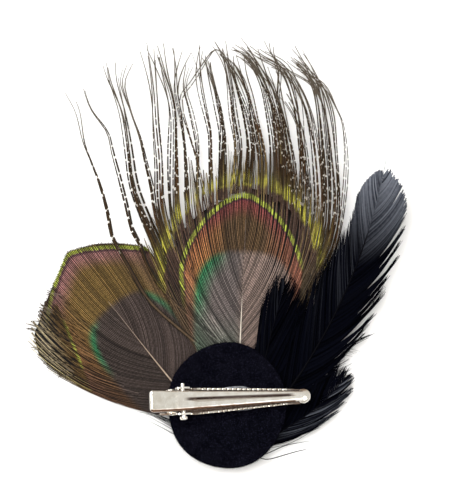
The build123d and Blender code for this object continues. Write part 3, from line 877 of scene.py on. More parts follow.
@dataclass(frozen=True)
class FeltFinish:
    """Black wool felt with a navy cast and pale flecks of fibre."""

    name: str = "black_felt"
    dark: Colour = paint(2, 2, 6)
    cast: Colour = paint(8, 8, 15)
    fibre: Colour = paint(26, 26, 38)

    def material(self) -> bpy.types.Material:
        """Builds the material.

        Returns:
            The material.
        """
        graph = Graph(self.name)
        place = graph.place()
        cloud = graph.noise(place, 260.0, 4.0, 0.65)
        fleck = graph.noise(place, 2600.0, 2.0, 0.7)
        colour = graph.mix(graph.span(cloud, 0.3, 0.7), self.dark, self.cast)
        colour = graph.mix(graph.span(fleck, 0.52, 0.7), colour, self.fibre)
        height = graph.plus(graph.times(fleck, 0.6), cloud)
        normal = graph.bump(height, 0.6, 0.0003)
        return graph.finish(Base_Color=colour, Roughness=0.95, Specular_IOR_Level=0.01, Normal=normal)


@dataclass(frozen=True)
class NickelFinish:
    """Bright nickel plate on pressed steel, rubbed fine along its length.

    Below a level that slopes along the clip the plate is painted with shade: a
    brown, darker colour that stands for the shade down in the channels. Level is
    in mm above the floor at the middle of the part, slope is its fall in mm for
    each mm to the nose, band is the height over which the plate turns bright, and
    reach is from where to where along the part it goes. Turn is the clip's bearing
    in degrees, and middle how far to its left the clip's middle line passes the
    origin. Near reflection edge is how far the plate stays bright towards the near
    side, in mm at the middle, and how much less for each mm to the nose; beyond it
    the near side has a painted brown reflection. Rib reflection is a painted brown
    reflection along the far side of a rib: from where to where it runs, how far
    off the middle and half as wide.
    """

    name: str = "nickel_plate"
    rough: float = 0.14
    turn: float = 2.9
    level: float = 0.0
    slope: float = 0.0
    band: float = 0.6
    reach: Pair = (-18.0, 100.0)
    near_reflection_edge: Pair = (100.0, 0.0)
    rib_reflection: tuple[float, float, float, float] = (0.0, 0.0, 100.0, 1.0)
    middle: float = 1.6845
    plate: Colour = paint(236, 231, 222)
    bright: Colour = paint(249, 247, 242)
    shaded_plate: Colour = paint(126, 112, 102)
    near_reflection_brown: Colour = paint(112, 84, 66)
    rib_reflection_brown: Colour = paint(64, 34, 25)

    def material(self) -> bpy.types.Material:
        """Builds the material.

        Returns:
            The material.
        """
        graph = Graph(self.name)
        place = graph.place()
        rubbed = graph.noise(graph.stretched(place, self.turn, (180.0, 3200.0, 900.0)), 1.0, 3.0, 0.6)
        cloud = graph.noise(place, 320.0, 3.0, 0.6)
        colour = graph.mix(graph.span(cloud, 0.3, 0.7), self.plate, self.bright)
        parts = graph.parts(place)
        # Painted shade: below the sloping level the plate turns the darker brown, for the shade in the
        # channels
        height = graph.plus(parts["Z"], graph.times(parts["X"], self.slope))
        waver = graph.times(cloud, 0.5 * MM)
        height = graph.plus(height, waver)
        unshaded = graph.span(height, (self.level - self.band) * MM, self.level * MM)
        back, front = (end * MM for end in self.reach)
        unshaded = graph.math("MAXIMUM", unshaded, graph.span(parts["X"], back, back - MM))
        unshaded = graph.math("MAXIMUM", unshaded, graph.span(parts["X"], front - MM, front))
        colour = graph.mix(unshaded, self.shaded_plate, colour)
        turned = graph.parts(graph.stretched(place, self.turn, (1 / MM, 1 / MM, 1 / MM)))
        along = turned["X"]
        aside = graph.minus(turned["Y"], self.middle)
        # Painted reflection: towards the near side the plate turns brown, for the brown surroundings the
        # near walls mirror
        edge, narrowing = self.near_reflection_edge
        limit = graph.minus(edge, graph.times(along, narrowing))
        spare = graph.plus(aside, limit)
        spare = graph.plus(spare, graph.span(along, front / MM - 1.0, front / MM + 1.0, 0.0, 9.0))
        spare = graph.plus(spare, graph.times(graph.minus(cloud, 0.5), 0.5))
        near = graph.times(graph.span(spare, 0.25, -0.3), graph.span(unshaded, 0.0, 1.0, 0.45, 1.0))
        colour = graph.mix(near, colour, self.near_reflection_brown)
        # Painted reflection: a brown line along the rib's far flank, for the dark far side that it mirrors
        start, stop, off, half = self.rib_reflection
        apart = graph.math("ABSOLUTE", graph.minus(aside, off))
        line = graph.times(graph.span(along, start, start + 3.0), graph.span(along, stop, stop - 3.0))
        line = graph.times(line, graph.span(apart, half, half * 0.3))
        colour = graph.mix(graph.times(line, 0.9), colour, self.rib_reflection_brown)
        rough = graph.plus(graph.span(rubbed, 0.3, 0.75, 0.0, 0.12), self.rough - 0.06)
        bend = graph.plus(rubbed, graph.times(cloud, 0.8))
        normal = graph.bump(bend, 0.08, 0.0002)
        return graph.finish(Base_Color=colour, Metallic=1.0, Roughness=rough, Normal=normal)


@dataclass(frozen=True)
class QuillFinish:
    """Pale horn of a quill, darker towards its tip."""

    name: str
    foot: Colour
    tip: Colour
    change: Pair = (0.25, 0.85)
    pith: Colour = paint(70, 58, 48)
    gloss: float = 0.45

    def material(self) -> bpy.types.Material:
        """Builds the material.

        Returns:
            The material.
        """
        graph = Graph(self.name)
        along = graph.mark("along")
        grain = graph.noise(graph.place(), 1500.0, 2.0)
        colour = graph.mix(graph.span(along, *self.change), self.foot, self.tip)
        colour = graph.mix(graph.span(grain, 0.3, 0.8, 0.0, 0.3), colour, self.pith)
        normal = graph.bump(grain, 0.2, 0.0001)
        return graph.finish(Base_Color=colour, Roughness=0.4, Specular_IOR_Level=self.gloss, Normal=normal)


@dataclass(frozen=True)
class GlueFinish:
    """Clear hot glue, cloudy inside."""

    name: str = "clear_glue"
    cloudy: Colour = paint(120, 124, 134)
    clear: Colour = paint(196, 198, 202)

    def material(self) -> bpy.types.Material:
        """Builds the material.

        Returns:
            The material.
        """
        graph = Graph(self.name)
        cloud = graph.noise(graph.place(), 700.0, 3.0, 0.6)
        colour = graph.mix(graph.span(cloud, 0.35, 0.7), self.cloudy, self.clear)
        normal = graph.bump(cloud, 0.5, 0.0004)
        return graph.finish(Base_Color=colour, Roughness=0.16, Transmission_Weight=0.35,
                            IOR=1.48, Normal=normal)


@dataclass(frozen=True)
class FloorFinish:
    """White paper sweep."""

    name: str = "white_floor"

    def material(self) -> bpy.types.Material:
        """Builds the material.

        Returns:
            The material.
        """
        graph = Graph(self.name)
        cloud = graph.noise(graph.place(), 3.0)
        colour = graph.mix(cloud, paint(250, 250, 251), paint(252, 252, 252))
        return graph.finish(Base_Color=colour, Roughness=0.9, Specular_IOR_Level=0.1)


@dataclass(frozen=True)
class Levels:
    """Heights along a feather, as the solids have them.

    Each row is a share of the length, the middle's rise and how much lower the
    edges hang, both in layers. Rows are joined by smooth steps.
    """

    rows: tuple[Triple, ...]
    start: float = 2.55
    layer: float = 0.65

    def height(self, share: Array, side: Array) -> Array:
        """Height at a share of the length, for places that are a share of the way to the edge.

        Args:
            share: shares of the feather's length.
            side: shares of the way from the shaft to the edge.

        Returns:
            The heights in mm.
        """
        table = np.array(self.rows)
        after = np.clip(np.searchsorted(table[:, 0], share), 1, len(table) - 1)
        first, second = table[after - 1], table[after]
        smooth = smoothstep(share, first[..., 0], second[..., 0])
        rise = first[..., 1] + (second[..., 1] - first[..., 1]) * smooth
        hang = first[..., 2] + (second[..., 2] - first[..., 2]) * smooth
        return self.start + self.layer * (rise - hang * side * side)


@dataclass(frozen=True)
class Herl:
    """A lock of loose herl, followed on the photograph from its foot to its tip.

    The route is in pixels, and foot and tip are how wide the lock is there, in
    mm. Thick is how wide its tufts are for their kind, and plain the share from
    its foot without gaps.
    """

    route: tuple[Pixel, ...]
    strands: int
    foot: float
    tip: float
    thick: float = 1.0
    plain: float = 0.06


@dataclass(frozen=True)
class HerlStyle:
    """What all loose herl has in common, with pairs as the ranges that are drawn from.

    Sizes across are in mm and half widths, and places along are shares of a
    strand. Phases are where in a cycle the dark tuft starts, is full, is full no
    more and ends.
    """

    cycles: int = 15
    cycle_lengths: Pair = (0.5, 1.5)
    cycle_change: Pair = (1.7, 0.6)
    phases: tuple[float, float, float, float] = (0.0, 0.04, 0.85, 0.9)
    bare_stations: int = 10
    tufted: Pair = (0.7, 0.88)
    reach: Pair = (0.93, 1.0)
    keep_place: float = 0.65
    shuffle: float = 0.35
    wave: float = 0.6
    waves: Pair = (0.7, 1.8)
    curl: Pair = (0.5, 1.6)
    curl_from: float = 0.78
    curl_over: float = 0.22
    lift: Pair = (-0.5, 0.35)
    lowest: float = 0.5
    tuft: Pair = (0.24, 0.36)
    hair: float = 0.08
    tone: Pair = (-0.65, 0.8)
    hair_dash: float = 0.88
    roll: float = 0.5


@dataclass
class EyeFeather:
    """A peacock eye feather: a quill, two fans of barbs over a thin dark web, which stands for barbules
    and is painted shade between the barbs, and loose herl.

    A row of the fan is degrees off the shaft, the outline's distance from the
    root as a share of the length, and the barbs' lean there. A row of leave is a
    share of the way round the fan and the degrees at which barbs leave the shaft.
    Overrun and ragged are how much longer barbs are drawn, parting how far they
    part at the tips and web_inset how far the web stays inside, left and right.
    """

    node: str
    finish: PeacockFinish
    quill_finish: QuillFinish
    root: Pixel
    bearing: float
    length: float
    fan: tuple[Triple, ...]
    levels: Levels
    shaft_share: float
    leave: tuple[Pair, ...]
    herl: tuple[Herl, ...] = ()
    barbs_a_side: int = 84
    stations: int = 22
    spread_power: float = 1.8
    overrun: Pair = (0.0, 0.06)
    ragged: Pair = (0.0, 0.0)
    parting: Pair = (0.0, 0.0)
    point: float = 0.75
    web_inset: Pair = (0.06, 0.06)
    thick_quill: Pair = (1.1, 0.34)
    quill_share: float = 0.8
    barbed_share: float = 0.88
    handles: Pair = (0.36, 0.5)
    barb_lift: Pair = (-0.05, 0.09)
    barb_cover: float = 0.34
    barb_halves: Pair = (0.06, 0.55)
    stripe_every: int = 3
    web_lines: int = 44
    web_end: float = 0.985
    web_overlap: float = 0.4
    web_drop: float = 0.08
    web_thick: float = 0.1
    web_shade_tone: float = -0.85
    style: HerlStyle = HerlStyle()
    view: PhotoView = PhotoView()

    def local(self, places: Array) -> tuple[Array, Array]:
        """How far left of the shaft and along it places are, in mm from the root.

        Args:
            places: the places, as (..., 2) or (..., 3).

        Returns:
            The distances across and ahead.
        """
        ahead = headings(np.array(self.bearing))
        left = headings(np.array(self.bearing + 90))
        offset = places[..., :2] - np.array(self.root)
        return offset @ left, offset @ ahead

    def marks(self, places: Array, tone: Array, dash: Array | float = 1.0) -> dict[str, Array]:
        """The numbers that the finish reads.

        Args:
            places: the strips' paths, as (strips, stations, 3).
            tone: a tone for each strip.
            dash: 1 on a dark tuft and 0 on a bare rib.

        Returns:
            The numbers by name.
        """
        across, ahead = self.local(places)
        return {"across": across, "ahead": ahead, "tone": tone, "dash": dash + 0 * across}

    def on_level(self, flat: Array) -> Array:
        """Places in the plane, lifted to the feather's level.

        Args:
            flat: the places, as (..., 2).

        Returns:
            The points, as (..., 3).
        """
        across, ahead = self.local(flat)
        share = np.hypot(across, ahead) / self.length
        turn = np.degrees(np.arctan2(np.abs(across), np.maximum(ahead, 0.1)))
        widest = max(abs(row[0]) for row in self.fan)
        height = self.levels.height(share, np.clip(turn / widest, 0, 1))
        return np.concatenate([flat, height[..., None]], axis=-1)

    def curves(self, side: Side, part: Array, longer: Array) -> Array:
        """Lines from the shaft to the fan's outline, on one side.

        A line's end lies on the outline, at even turns from the shaft. Its start
        on the shaft is the shaft's length times one less the turn's share to the
        power 1 over spread_power. Between them it is a cubic with two handles,
        so it leaves the shaft at a given angle and ends with the fan's lean.

        Args:
            side: the side of the shaft.
            part: how far round that side each line is, from 0 to 1.
            longer: how much longer than the outline it reaches, as a share of the feather's length.

        Returns:
            The flat places, as (lines, stations, 2).
        """
        table = np.array(self.fan)[::-1]
        turn = part * abs(table[-1, 0] if side is Side.LEFT else table[0, 0]) * side.value
        reach = np.interp(turn, table[:, 0], table[:, 1]) + longer
        lean = np.interp(turn, table[:, 0], table[:, 2])
        leave = np.interp(part, *np.array(self.leave).T) * side.value
        start = self.barbed_share * self.shaft_share * self.length * (1 - part ** (1 / self.spread_power))
        root = np.array(self.root)
        foot = root + headings(np.array(self.bearing)) * start[:, None]
        end = root + headings(self.bearing + turn) * (reach * self.length)[:, None]
        far = np.linalg.norm(end - foot, axis=1)[:, None]
        first = foot + headings(self.bearing + leave) * far * self.handles[0]
        second = end - headings(self.bearing + lean) * far * self.handles[1]
        along = np.linspace(0, 1, self.stations)[None, :, None]
        return (
            foot[:, None] * (1 - along) ** 3
            + 3 * first[:, None] * along * (1 - along) ** 2
            + 3 * second[:, None] * along**2 * (1 - along)
            + end[:, None] * along**3
        )

    def barbs(self, side: Side, rng: Draws) -> Strands:
        """The barbs of one side.

        Their half width follows the gap to their neighbours and tapers at the
        tip. A few are nearly black, and those low on the flank are striped.

        Args:
            side: the side of the shaft.
            rng: the random numbers.

        Returns:
            The barbs.
        """
        count = self.barbs_a_side
        part = (np.arange(count) + 0.5) / count
        longer = rng.uniform(*self.overrun, count)
        if side is Side.LEFT:
            longer = longer + smoothstep(part, 0.3, 0.8) * rng.uniform(*self.ragged, count)
        along = np.linspace(0, 1, self.stations)[None, :, None]
        flat = self.grouped(self.curves(side, part, longer), along[..., 0], side, rng)
        paths = self.on_level(flat)
        paths[..., 2] += rng.uniform(*self.barb_lift, count)[:, None]
        step = np.gradient(flat, axis=0)
        ahead = normalised(np.gradient(flat, axis=1))
        gap = np.abs(step[..., 0] * ahead[..., 1] - step[..., 1] * ahead[..., 0])
        taper = 1 - self.point * smoothstep(along[..., 0], 0.84, 1.0)
        half = np.clip(gap * self.barb_cover, *self.barb_halves) * taper
        tone = np.where(rng.uniform(0, 1, count) < 0.015, -0.5, rng.uniform(0, 1, count))
        striped = np.where(np.arange(count) % self.stripe_every == 0, rng.uniform(0.8, 1, count),
                           rng.uniform(-0.1, 0.3, count))
        tone = tone + smoothstep(part, 0.62, 0.85) * (striped - tone)
        return Strands(paths, half, roll=rng.normal(0, 0.16, count), marks=self.marks(paths, tone))

    def grouped(self, flat: Array, along: Array, side: Side, rng: Draws) -> Array:
        """Draws neighbouring barbs together towards their tips, in groups of a few.

        Args:
            flat: the barbs, as (barbs, stations, 2).
            along: the stations' shares.
            side: the side that they grow on.
            rng: the random numbers.

        Returns:
            The barbs, drawn together.
        """
        count = len(flat)
        edges = np.cumsum(rng.integers(3, 8, count))
        group = np.searchsorted(edges, np.arange(count), side="right")
        middle = np.bincount(group, np.arange(count)) / np.maximum(np.bincount(group), 1)
        chosen = np.clip(np.floor(middle[group]).astype(int), 0, count - 1)
        part = np.arange(count) / count
        flank = 0.3 * smoothstep(part, 0.6, 1.0)[:, None] * smoothstep(along, 0.1, 0.9)
        rim = self.parting[0 if side is Side.LEFT else 1] * smoothstep(part, 0.05, 0.3)[:, None]
        pull = 0.05 * along + flank + (rim - flank * rim) * smoothstep(along, 0.72, 1.0)
        return flat + pull[..., None] * (flat[chosen] - flat)

    def web(self, side: Side) -> Piece:
        """The thin dark web under one side's barbs, between lines as they follow: it stands for the
        overlapping barbules and is painted shade in the gaps between barbs.

        Its first line is moved over the shaft, so that the two sides overlap there.

        Args:
            side: the side of the shaft.

        Returns:
            The piece.
        """
        inset = -self.web_inset[0 if side is Side.LEFT else 1]
        part = np.linspace(0, self.web_end, self.web_lines)
        flat = self.curves(side, part, inset + 0 * part).transpose(1, 0, 2)
        flat[:, 0] -= headings(np.array(self.bearing + 90)) * side.value * self.web_overlap
        upper = self.on_level(flat if side is Side.LEFT else flat[:, ::-1])
        upper[..., 2] -= self.web_drop
        across, ahead = self.local(upper)
        # Painted shade: the web has a dark tone and is darkened as if all edge, so the gaps between barbs
        # read as shade
        marks = {"across": across, "ahead": ahead, "tone": 0 * across + self.web_shade_tone,
                 "dash": 0 * across + 1, "edge": 0 * across + 1}
        return thin_shell(f"{self.node}_{side.name.lower()}_web", upper, self.web_thick, marks)

    def quill(self) -> Piece:
        """The quill: a tapering round shaft along the middle, which sways a little.

        Returns:
            The piece.
        """
        along = np.linspace(0, self.quill_share, 40)
        flat = np.array(self.root) + headings(np.array(self.bearing)) * (along * self.length)[:, None]
        sway = np.sin(along * 7.0) * 0.35 * along
        flat = flat + headings(np.array(self.bearing + 90)) * sway[:, None]
        path = self.on_level(flat)
        thick = np.interp(along, [0, 0.35, 0.5, 0.8], [*self.thick_quill, 0.2, 0.12])
        path[:, 2] += np.minimum(thick, 0.3) * 0.4
        strands = Strands(path[None], thick[None] / 2, round_section(10),
                          marks={"along": along[None]})
        return strands.build(f"{self.node}_quill", smooth=True)

    def loose_herl(self, rng: Draws) -> Strands:
        """The loose herl beyond the fan, lock by lock along the routes on the photograph.

        A strand lies to the side of its lock's route by a mix of its foot's and
        its tip's place across the lock, with a slow wave, and its end curls.
        Over the first part of its length come cycles of a dark tuft and a bare
        gap, which widen and narrow it; the rest is a bare thin hair.

        Args:
            rng: the random numbers.

        Returns:
            The strands.
        """
        return joined([self.herl_lock(lock, rng) for lock in self.herl])

    def herl_lock(self, lock: Herl, rng: Draws) -> Strands:
        """One lock of herl.

        Args:
            lock: the lock.
            rng: the random numbers.

        Returns:
            The lock's strands.
        """
        style = self.style
        count, cycles, bare = lock.strands, style.cycles, style.bare_stations
        tufted = rng.uniform(*style.tufted, count)[:, None]
        lengths = rng.uniform(*style.cycle_lengths, (count, cycles))
        lengths = lengths * np.linspace(*style.cycle_change, cycles)
        starts = np.cumsum(lengths, axis=1) - lengths
        total = starts[:, -1:] + lengths[:, -1:]
        phases = np.array(style.phases)
        tufts = ((starts[..., None] + lengths[..., None] * phases) / total[..., None]).reshape(count, -1)
        tail = tufted + (1 - tufted) * (np.arange(1, bare + 1) / bare)
        along = np.concatenate([tufts * tufted, tail], axis=1)
        on = np.tile([0.0, 1.0, 1.0, 0.0], cycles)[None]
        on = np.concatenate([on + 0 * tufts, np.zeros((count, bare))], axis=1)
        on = np.maximum(on, along < lock.plain)

        reach = rng.uniform(*style.reach, count)[:, None]
        share = along * reach
        pixels = smooth_route(lock.route, share)
        ahead = normalised(np.gradient(pixels, axis=1))
        aside = np.stack([ahead[..., 1], -ahead[..., 0]], axis=-1)
        place = ((np.arange(count) + 0.5) / count * 2 - 1 if count > 1 else np.zeros(1))[:, None]
        other = style.keep_place * place + rng.uniform(-style.shuffle, style.shuffle, count)[:, None]
        blend = smoothstep(share, 0.15, 0.95)
        offset = (place * (1 - blend) * lock.foot + other * blend * lock.tip) / 2
        waves = rng.uniform(*style.waves, count)[:, None]
        turns = share * waves + rng.uniform(0, 1, count)[:, None]
        offset = offset + style.wave * np.sin(2 * np.pi * turns) * share
        curl = rng.normal(*style.curl, count)[:, None]
        offset = offset + curl * np.clip((along - style.curl_from) / style.curl_over, 0, 1) ** 2
        pixels = pixels + aside * (offset / self.view.pixel)[..., None]
        paths = self.view.place(pixels, np.full(pixels.shape[:2], 4.0))
        level = self.on_level(paths[..., :2])[..., 2] + rng.uniform(*style.lift, count)[:, None]
        paths = self.view.place(pixels, np.maximum(level, style.lowest))

        fine = 1 - 0.45 * smoothstep(along, 0.2, 0.9)
        tuft = rng.uniform(*style.tuft, count)[:, None] * fine * lock.thick
        hair = style.hair + 0.13 * smoothstep(along, tufted - 0.12, tufted)
        hair = hair - 0.07 * smoothstep(along, 0.85, 1.0)
        fringe = 1 - smoothstep(along, tufted - 0.12, tufted + 0.02)
        half = hair + (tuft - hair) * on * fringe
        dark = np.maximum(on, style.hair_dash * smoothstep(along, tufted - 0.15, tufted))
        tone = rng.uniform(*style.tone, count)[:, None] * (1 - 0.4 * smoothstep(along, 0.3, 0.7))
        tone = tone - 0.2 * smoothstep(along, tufted - 0.4, 1.0)
        roll = rng.normal(0, style.roll, count)
        return Strands(paths, half, roll=roll, marks=self.marks(paths, tone, dark))

    def build(self, rng: Draws) -> list[Piece]:
        """Builds and dresses the feather.

        Args:
            rng: the random numbers.

        Returns:
            Its pieces.
        """
        material = self.finish.material()
        pieces = [self.web(side) for side in Side]
        for side in Side:
            pieces.append(self.barbs(side, rng).build(f"{self.node}_{side.name.lower()}_barbs"))
        if self.herl:
            pieces.append(self.loose_herl(rng).build(f"{self.node}_herl"))
        for piece in pieces:
            piece.data.materials.append(material)
        quill = self.quill()
        quill.data.materials.append(self.quill_finish.material())
        pieces.append(quill)
        for piece in pieces:
            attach(piece, Body.BASE.value)
            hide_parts(self.node)
        return pieces


@dataclass
class BlackFeather:
    """A black feather: barbs swept off a curved shaft and drawn into pointed locks.

    Pairs are for the left and the right side, apart from the bearings of the
    root and the tip, the quill's thickness there, and ranges that are drawn from.
    Barbs turn thin and pale beyond thin_from and stay wide to their ends beyond
    full_from. Sheen is how pale a streaked barb is on sheen_side.
    """

    node: str
    root: Pixel
    bearings: Pair
    length: float
    vane: tuple[tuple[float, float, float, float, float], ...]
    levels: Levels
    quill_thick: Pair
    thin_from: float = 2.0
    full_from: float = 2.0
    sheen: float = 0.4
    sheen_side: Side = Side.LEFT
    bare_tip: float = 0.0
    vane_from: float = 0.1
    pitch: float = 0.26
    barb_angle: Pair = (20.0, 25.0)
    lock_size: Pair = (4.0, 6.5)
    lock_pull: Pair = (0.3, 0.85)
    barb_half: float = 0.3
    ragged: Pair = (0.003, 0.01)
    lock_spacing: Pair = (0.6, 1.5)
    lock_lead: float = 0.3
    lock_lift: Pair = (-0.2, 0.25)
    barb_lift: Pair = (-0.1, 0.12)
    swing: float = 0.5
    stray: float = 0.35
    full_over: float = 0.1
    thin_over: float = 0.27
    streaked_share: float = 0.35
    stations: int = 16

    def shaft(self, share: Array) -> tuple[Array, Array]:
        """Place and bearing on the shaft's arc.

        The arc turns evenly from the root's bearing to the tip's: its place is
        the radius times the change of the bearing's sine, and less of its cosine.

        Args:
            share: shares of the shaft's length.

        Returns:
            The places, as (..., 2), and the bearings in degrees.
        """
        first = math.radians(self.bearings[0])
        bend = math.radians(self.bearings[1] - self.bearings[0])
        angle = first + bend * share
        radius = self.length / bend
        place = np.stack([np.sin(angle) - math.sin(first), math.cos(first) - np.cos(angle)], axis=-1)
        return np.array(self.root) + radius * place, np.degrees(angle)

    def grow(self, ends: Array, side: Side, longer: Array) -> tuple[Array, Array]:
        """The barbs that end at places on the vane's edge.

        A barb is worked out in the shaft's own coordinates, which are a share of
        its length and a width off it. The share rises evenly from where the barb
        leaves the shaft, and the width grows fast and then slower, as a quadratic.

        Args:
            ends: the ends' shares of the shaft's length.
            side: the side they grow on.
            longer: how much longer each is than the vane, as a share of the feather's length.

        Returns:
            The flat places, as (barbs, stations, 2), and the points' heights.
        """
        table = np.array(self.vane)
        width = np.interp(ends, table[:, 0], table[:, 1 if side is Side.LEFT else 2])
        slope = math.tan(math.radians(self.barb_angle[0 if side is Side.LEFT else 1]))
        start = np.maximum(ends - width / slope, 0.02)
        along = np.linspace(0, 1, self.stations)[None]
        share = start[:, None] + (ends - start + longer * 0.92)[:, None] * along
        spread = (width + longer * 0.4)[:, None] * along * (1.45 - 0.45 * along)
        place, bearing = self.shaft(share)
        aside = headings(bearing + 90 * side.value)
        height = self.levels.height(share, np.minimum(spread / table[:, 1:3].max(), 1))
        return place + aside * (spread * self.length)[..., None], height

    def barbs(self, side: Side, rng: Draws) -> Strands:
        """The barbs of one side, drawn together in locks.

        Args:
            side: the side.
            rng: the random numbers.

        Returns:
            The barbs.
        """
        table = np.array(self.vane)
        column = 0 if side is Side.LEFT else 1
        first, last = self.vane_from, table[-1, 0] - 0.004
        count = int((last - first) * self.length / self.pitch)
        ends = first + (last - first) * (np.arange(count) + 0.5) / count
        size = self.lock_size[column]
        centres = np.cumsum(rng.uniform(*self.lock_spacing, count)) * size / self.length + first
        owner = np.clip(np.searchsorted(centres, ends), 1, len(centres) - 1)
        nearer = np.where(ends - centres[owner - 1] < centres[owner] - ends, owner - 1, owner)
        centre = np.minimum(centres[nearer] + self.lock_lead * size / self.length, last)
        lock = np.interp(ends, table[:, 0], table[:, 3 + column])
        spare = rng.uniform(0, 1, len(centres))[nearer]
        closeness = 1 - np.clip(np.abs(ends - centre) * self.length / size, 0, 1)
        longer = lock * (0.5 + 0.5 * spare) * (0.4 + 0.6 * closeness)
        longer = longer + rng.uniform(-1, 1, count) * self.ragged[column]
        own, height = self.grow(ends, side, longer)
        shared, _ = self.grow(centre, side, longer)
        along = np.linspace(0, 1, self.stations)
        drawn = self.lock_pull[column] * np.clip(lock / 0.05, 0.12, 1)[:, None]
        pull = (drawn * smoothstep(along, 0.3, 1.0)[None])[..., None]
        flat = own + pull * (shared - own)
        swing = (rng.uniform(-1, 1, len(centres))[nearer] * self.swing)[:, None, None]
        stray = rng.normal(0, self.stray, count)[:, None, None]
        ahead = normalised(np.gradient(flat, axis=1))
        aside = np.stack([-ahead[..., 1], ahead[..., 0]], axis=-1)
        full = smoothstep(ends, self.full_from, self.full_from + self.full_over)
        calm = 1 - 0.8 * full[:, None, None]
        flat = flat + aside * (swing + stray) * calm * (along**2)[None, :, None]
        lift = rng.uniform(*self.lock_lift, len(centres))[nearer][:, None] * along[None]
        height = height + lift + rng.uniform(*self.barb_lift, count)[:, None]
        paths = np.concatenate([flat, height[..., None]], axis=-1)
        point = 0.85 - 0.5 * full[:, None]
        half = self.barb_half * (1.6 - 0.7 * point) * (1 - point * smoothstep(along, 0.5, 1.0)[None])
        share = ends[:, None] - 0.12 * (1 - along[None])
        thin = smoothstep(share, self.thin_from, self.thin_from + self.thin_over)
        # Painted sheen: some barbs on the sheen side are streaked pale through the thin mark
        chosen = rng.uniform(0, 1, count) < self.streaked_share
        streaked = chosen * (side is self.sheen_side) * self.sheen
        thin = np.maximum(thin, streaked[:, None] * smoothstep(share, 0.42, 0.75))
        marks = {"tone": rng.uniform(0, 1, count), "thin": thin + 0 * height}
        return Strands(paths, half, roll=rng.normal(0, 0.3, count), marks=marks)

    def quill(self) -> Piece:
        """The shaft: a tapering round rod along the arc.

        Returns:
            The piece.
        """
        along = np.linspace(0, 1 + self.bare_tip, 48)
        flat, _ = self.shaft(along)
        height = self.levels.height(along, 0 * along) + 0.15
        thick = np.interp(along, [0, 0.9, 1 + self.bare_tip], [*self.quill_thick, 0.12])
        path = np.concatenate([flat, height[:, None]], axis=1)
        strands = Strands(path[None], thick[None] / 2, round_section(8), marks={"along": along[None]})
        return strands.build(f"{self.node}_quill", smooth=True)

    def build(self, finish: bpy.types.Material, quill_finish: bpy.types.Material,
              rng: Draws) -> list[Piece]:
        """Builds and dresses the feather.

        Args:
            finish: the barbs' material.
            quill_finish: the shaft's material.
            rng: the random numbers.

        Returns:
            Its pieces.
        """
        pieces = []
        for side in Side:
            pieces.append(self.barbs(side, rng).build(f"{self.node}_{side.name.lower()}_barbs"))
            pieces[-1].data.materials.append(finish)
        pieces.append(self.quill())
        pieces[-1].data.materials.append(quill_finish)
        for piece in pieces:
            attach(piece, Body.BASE.value)
            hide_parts(self.node)
        return pieces


@dataclass(frozen=True)
class Wisp:
    """A few stray hairs side by side, by the pixels that they run through.

    Spreads are in mm across the hairs, and heights in mm above the floor.
    """

    route: tuple[Pixel, ...]
    hairs: int
    spreads: Pair
    heights: Pair = (2.7, 2.3)
    half: float = 0.12


@dataclass
class Wisps:
    """Stray black hairs around the low feather and under the clip's tail.

    Reach and widths are ranges that are drawn from, and bend, uneven and roll
    are how far a hair bends aside, differs in height (in mm) and rolls.
    """

    groups: tuple[Wisp, ...]
    node: str = "black_feather_low"
    stations: int = 18
    reach: Pair = (0.75, 1.0)
    widths: Pair = (0.7, 1.2)
    bend: float = 0.12
    uneven: float = 0.3
    point: float = 0.75
    roll: float = 0.4
    view: PhotoView = PhotoView()

    def group(self, wisp: Wisp, rng: Draws) -> Strands:
        """The hairs of one group.

        A hair keeps its place across the group, which opens evenly from its foot
        to its tip, bends a little to one side and thins to a point.

        Args:
            wisp: the group.
            rng: the random numbers.

        Returns:
            The hairs.
        """
        count = wisp.hairs
        along = np.linspace(0, 1, self.stations)[None] * rng.uniform(*self.reach, count)[:, None]
        pixels = smooth_route(wisp.route, along)
        ahead = normalised(np.gradient(pixels, axis=1))
        aside = np.stack([ahead[..., 1], -ahead[..., 0]], axis=-1)
        place = rng.uniform(-1, 1, count)[:, None]
        spread = wisp.spreads[0] + (wisp.spreads[1] - wisp.spreads[0]) * along
        bend = rng.normal(0, self.bend, count)[:, None] * wisp.spreads[1] * along**2
        pixels = pixels + aside * ((place * spread / 2 + bend) / self.view.pixel)[..., None]
        height = wisp.heights[0] + (wisp.heights[1] - wisp.heights[0]) * along
        height = height + rng.uniform(-self.uneven, self.uneven, count)[:, None]
        paths = self.view.place(pixels, height)
        taper = 1 - self.point * smoothstep(along, 0.4, 1.0)
        half = wisp.half * rng.uniform(*self.widths, count)[:, None] * taper
        marks = {"tone": rng.uniform(0, 1, count), "thin": 0 * along}
        return Strands(paths, half, roll=rng.normal(0, self.roll, count), marks=marks)

    def build(self, finish: bpy.types.Material, rng: Draws) -> Piece:
        """Builds and dresses the hairs.

        Args:
            finish: the hairs' material.
            rng: the random numbers.

        Returns:
            The piece.
        """
        piece = joined([self.group(wisp, rng) for wisp in self.groups]).build(f"{self.node}_wisps")
        piece.data.materials.append(finish)
        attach(piece, Body.BASE.value)
        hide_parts(self.node)
        return piece


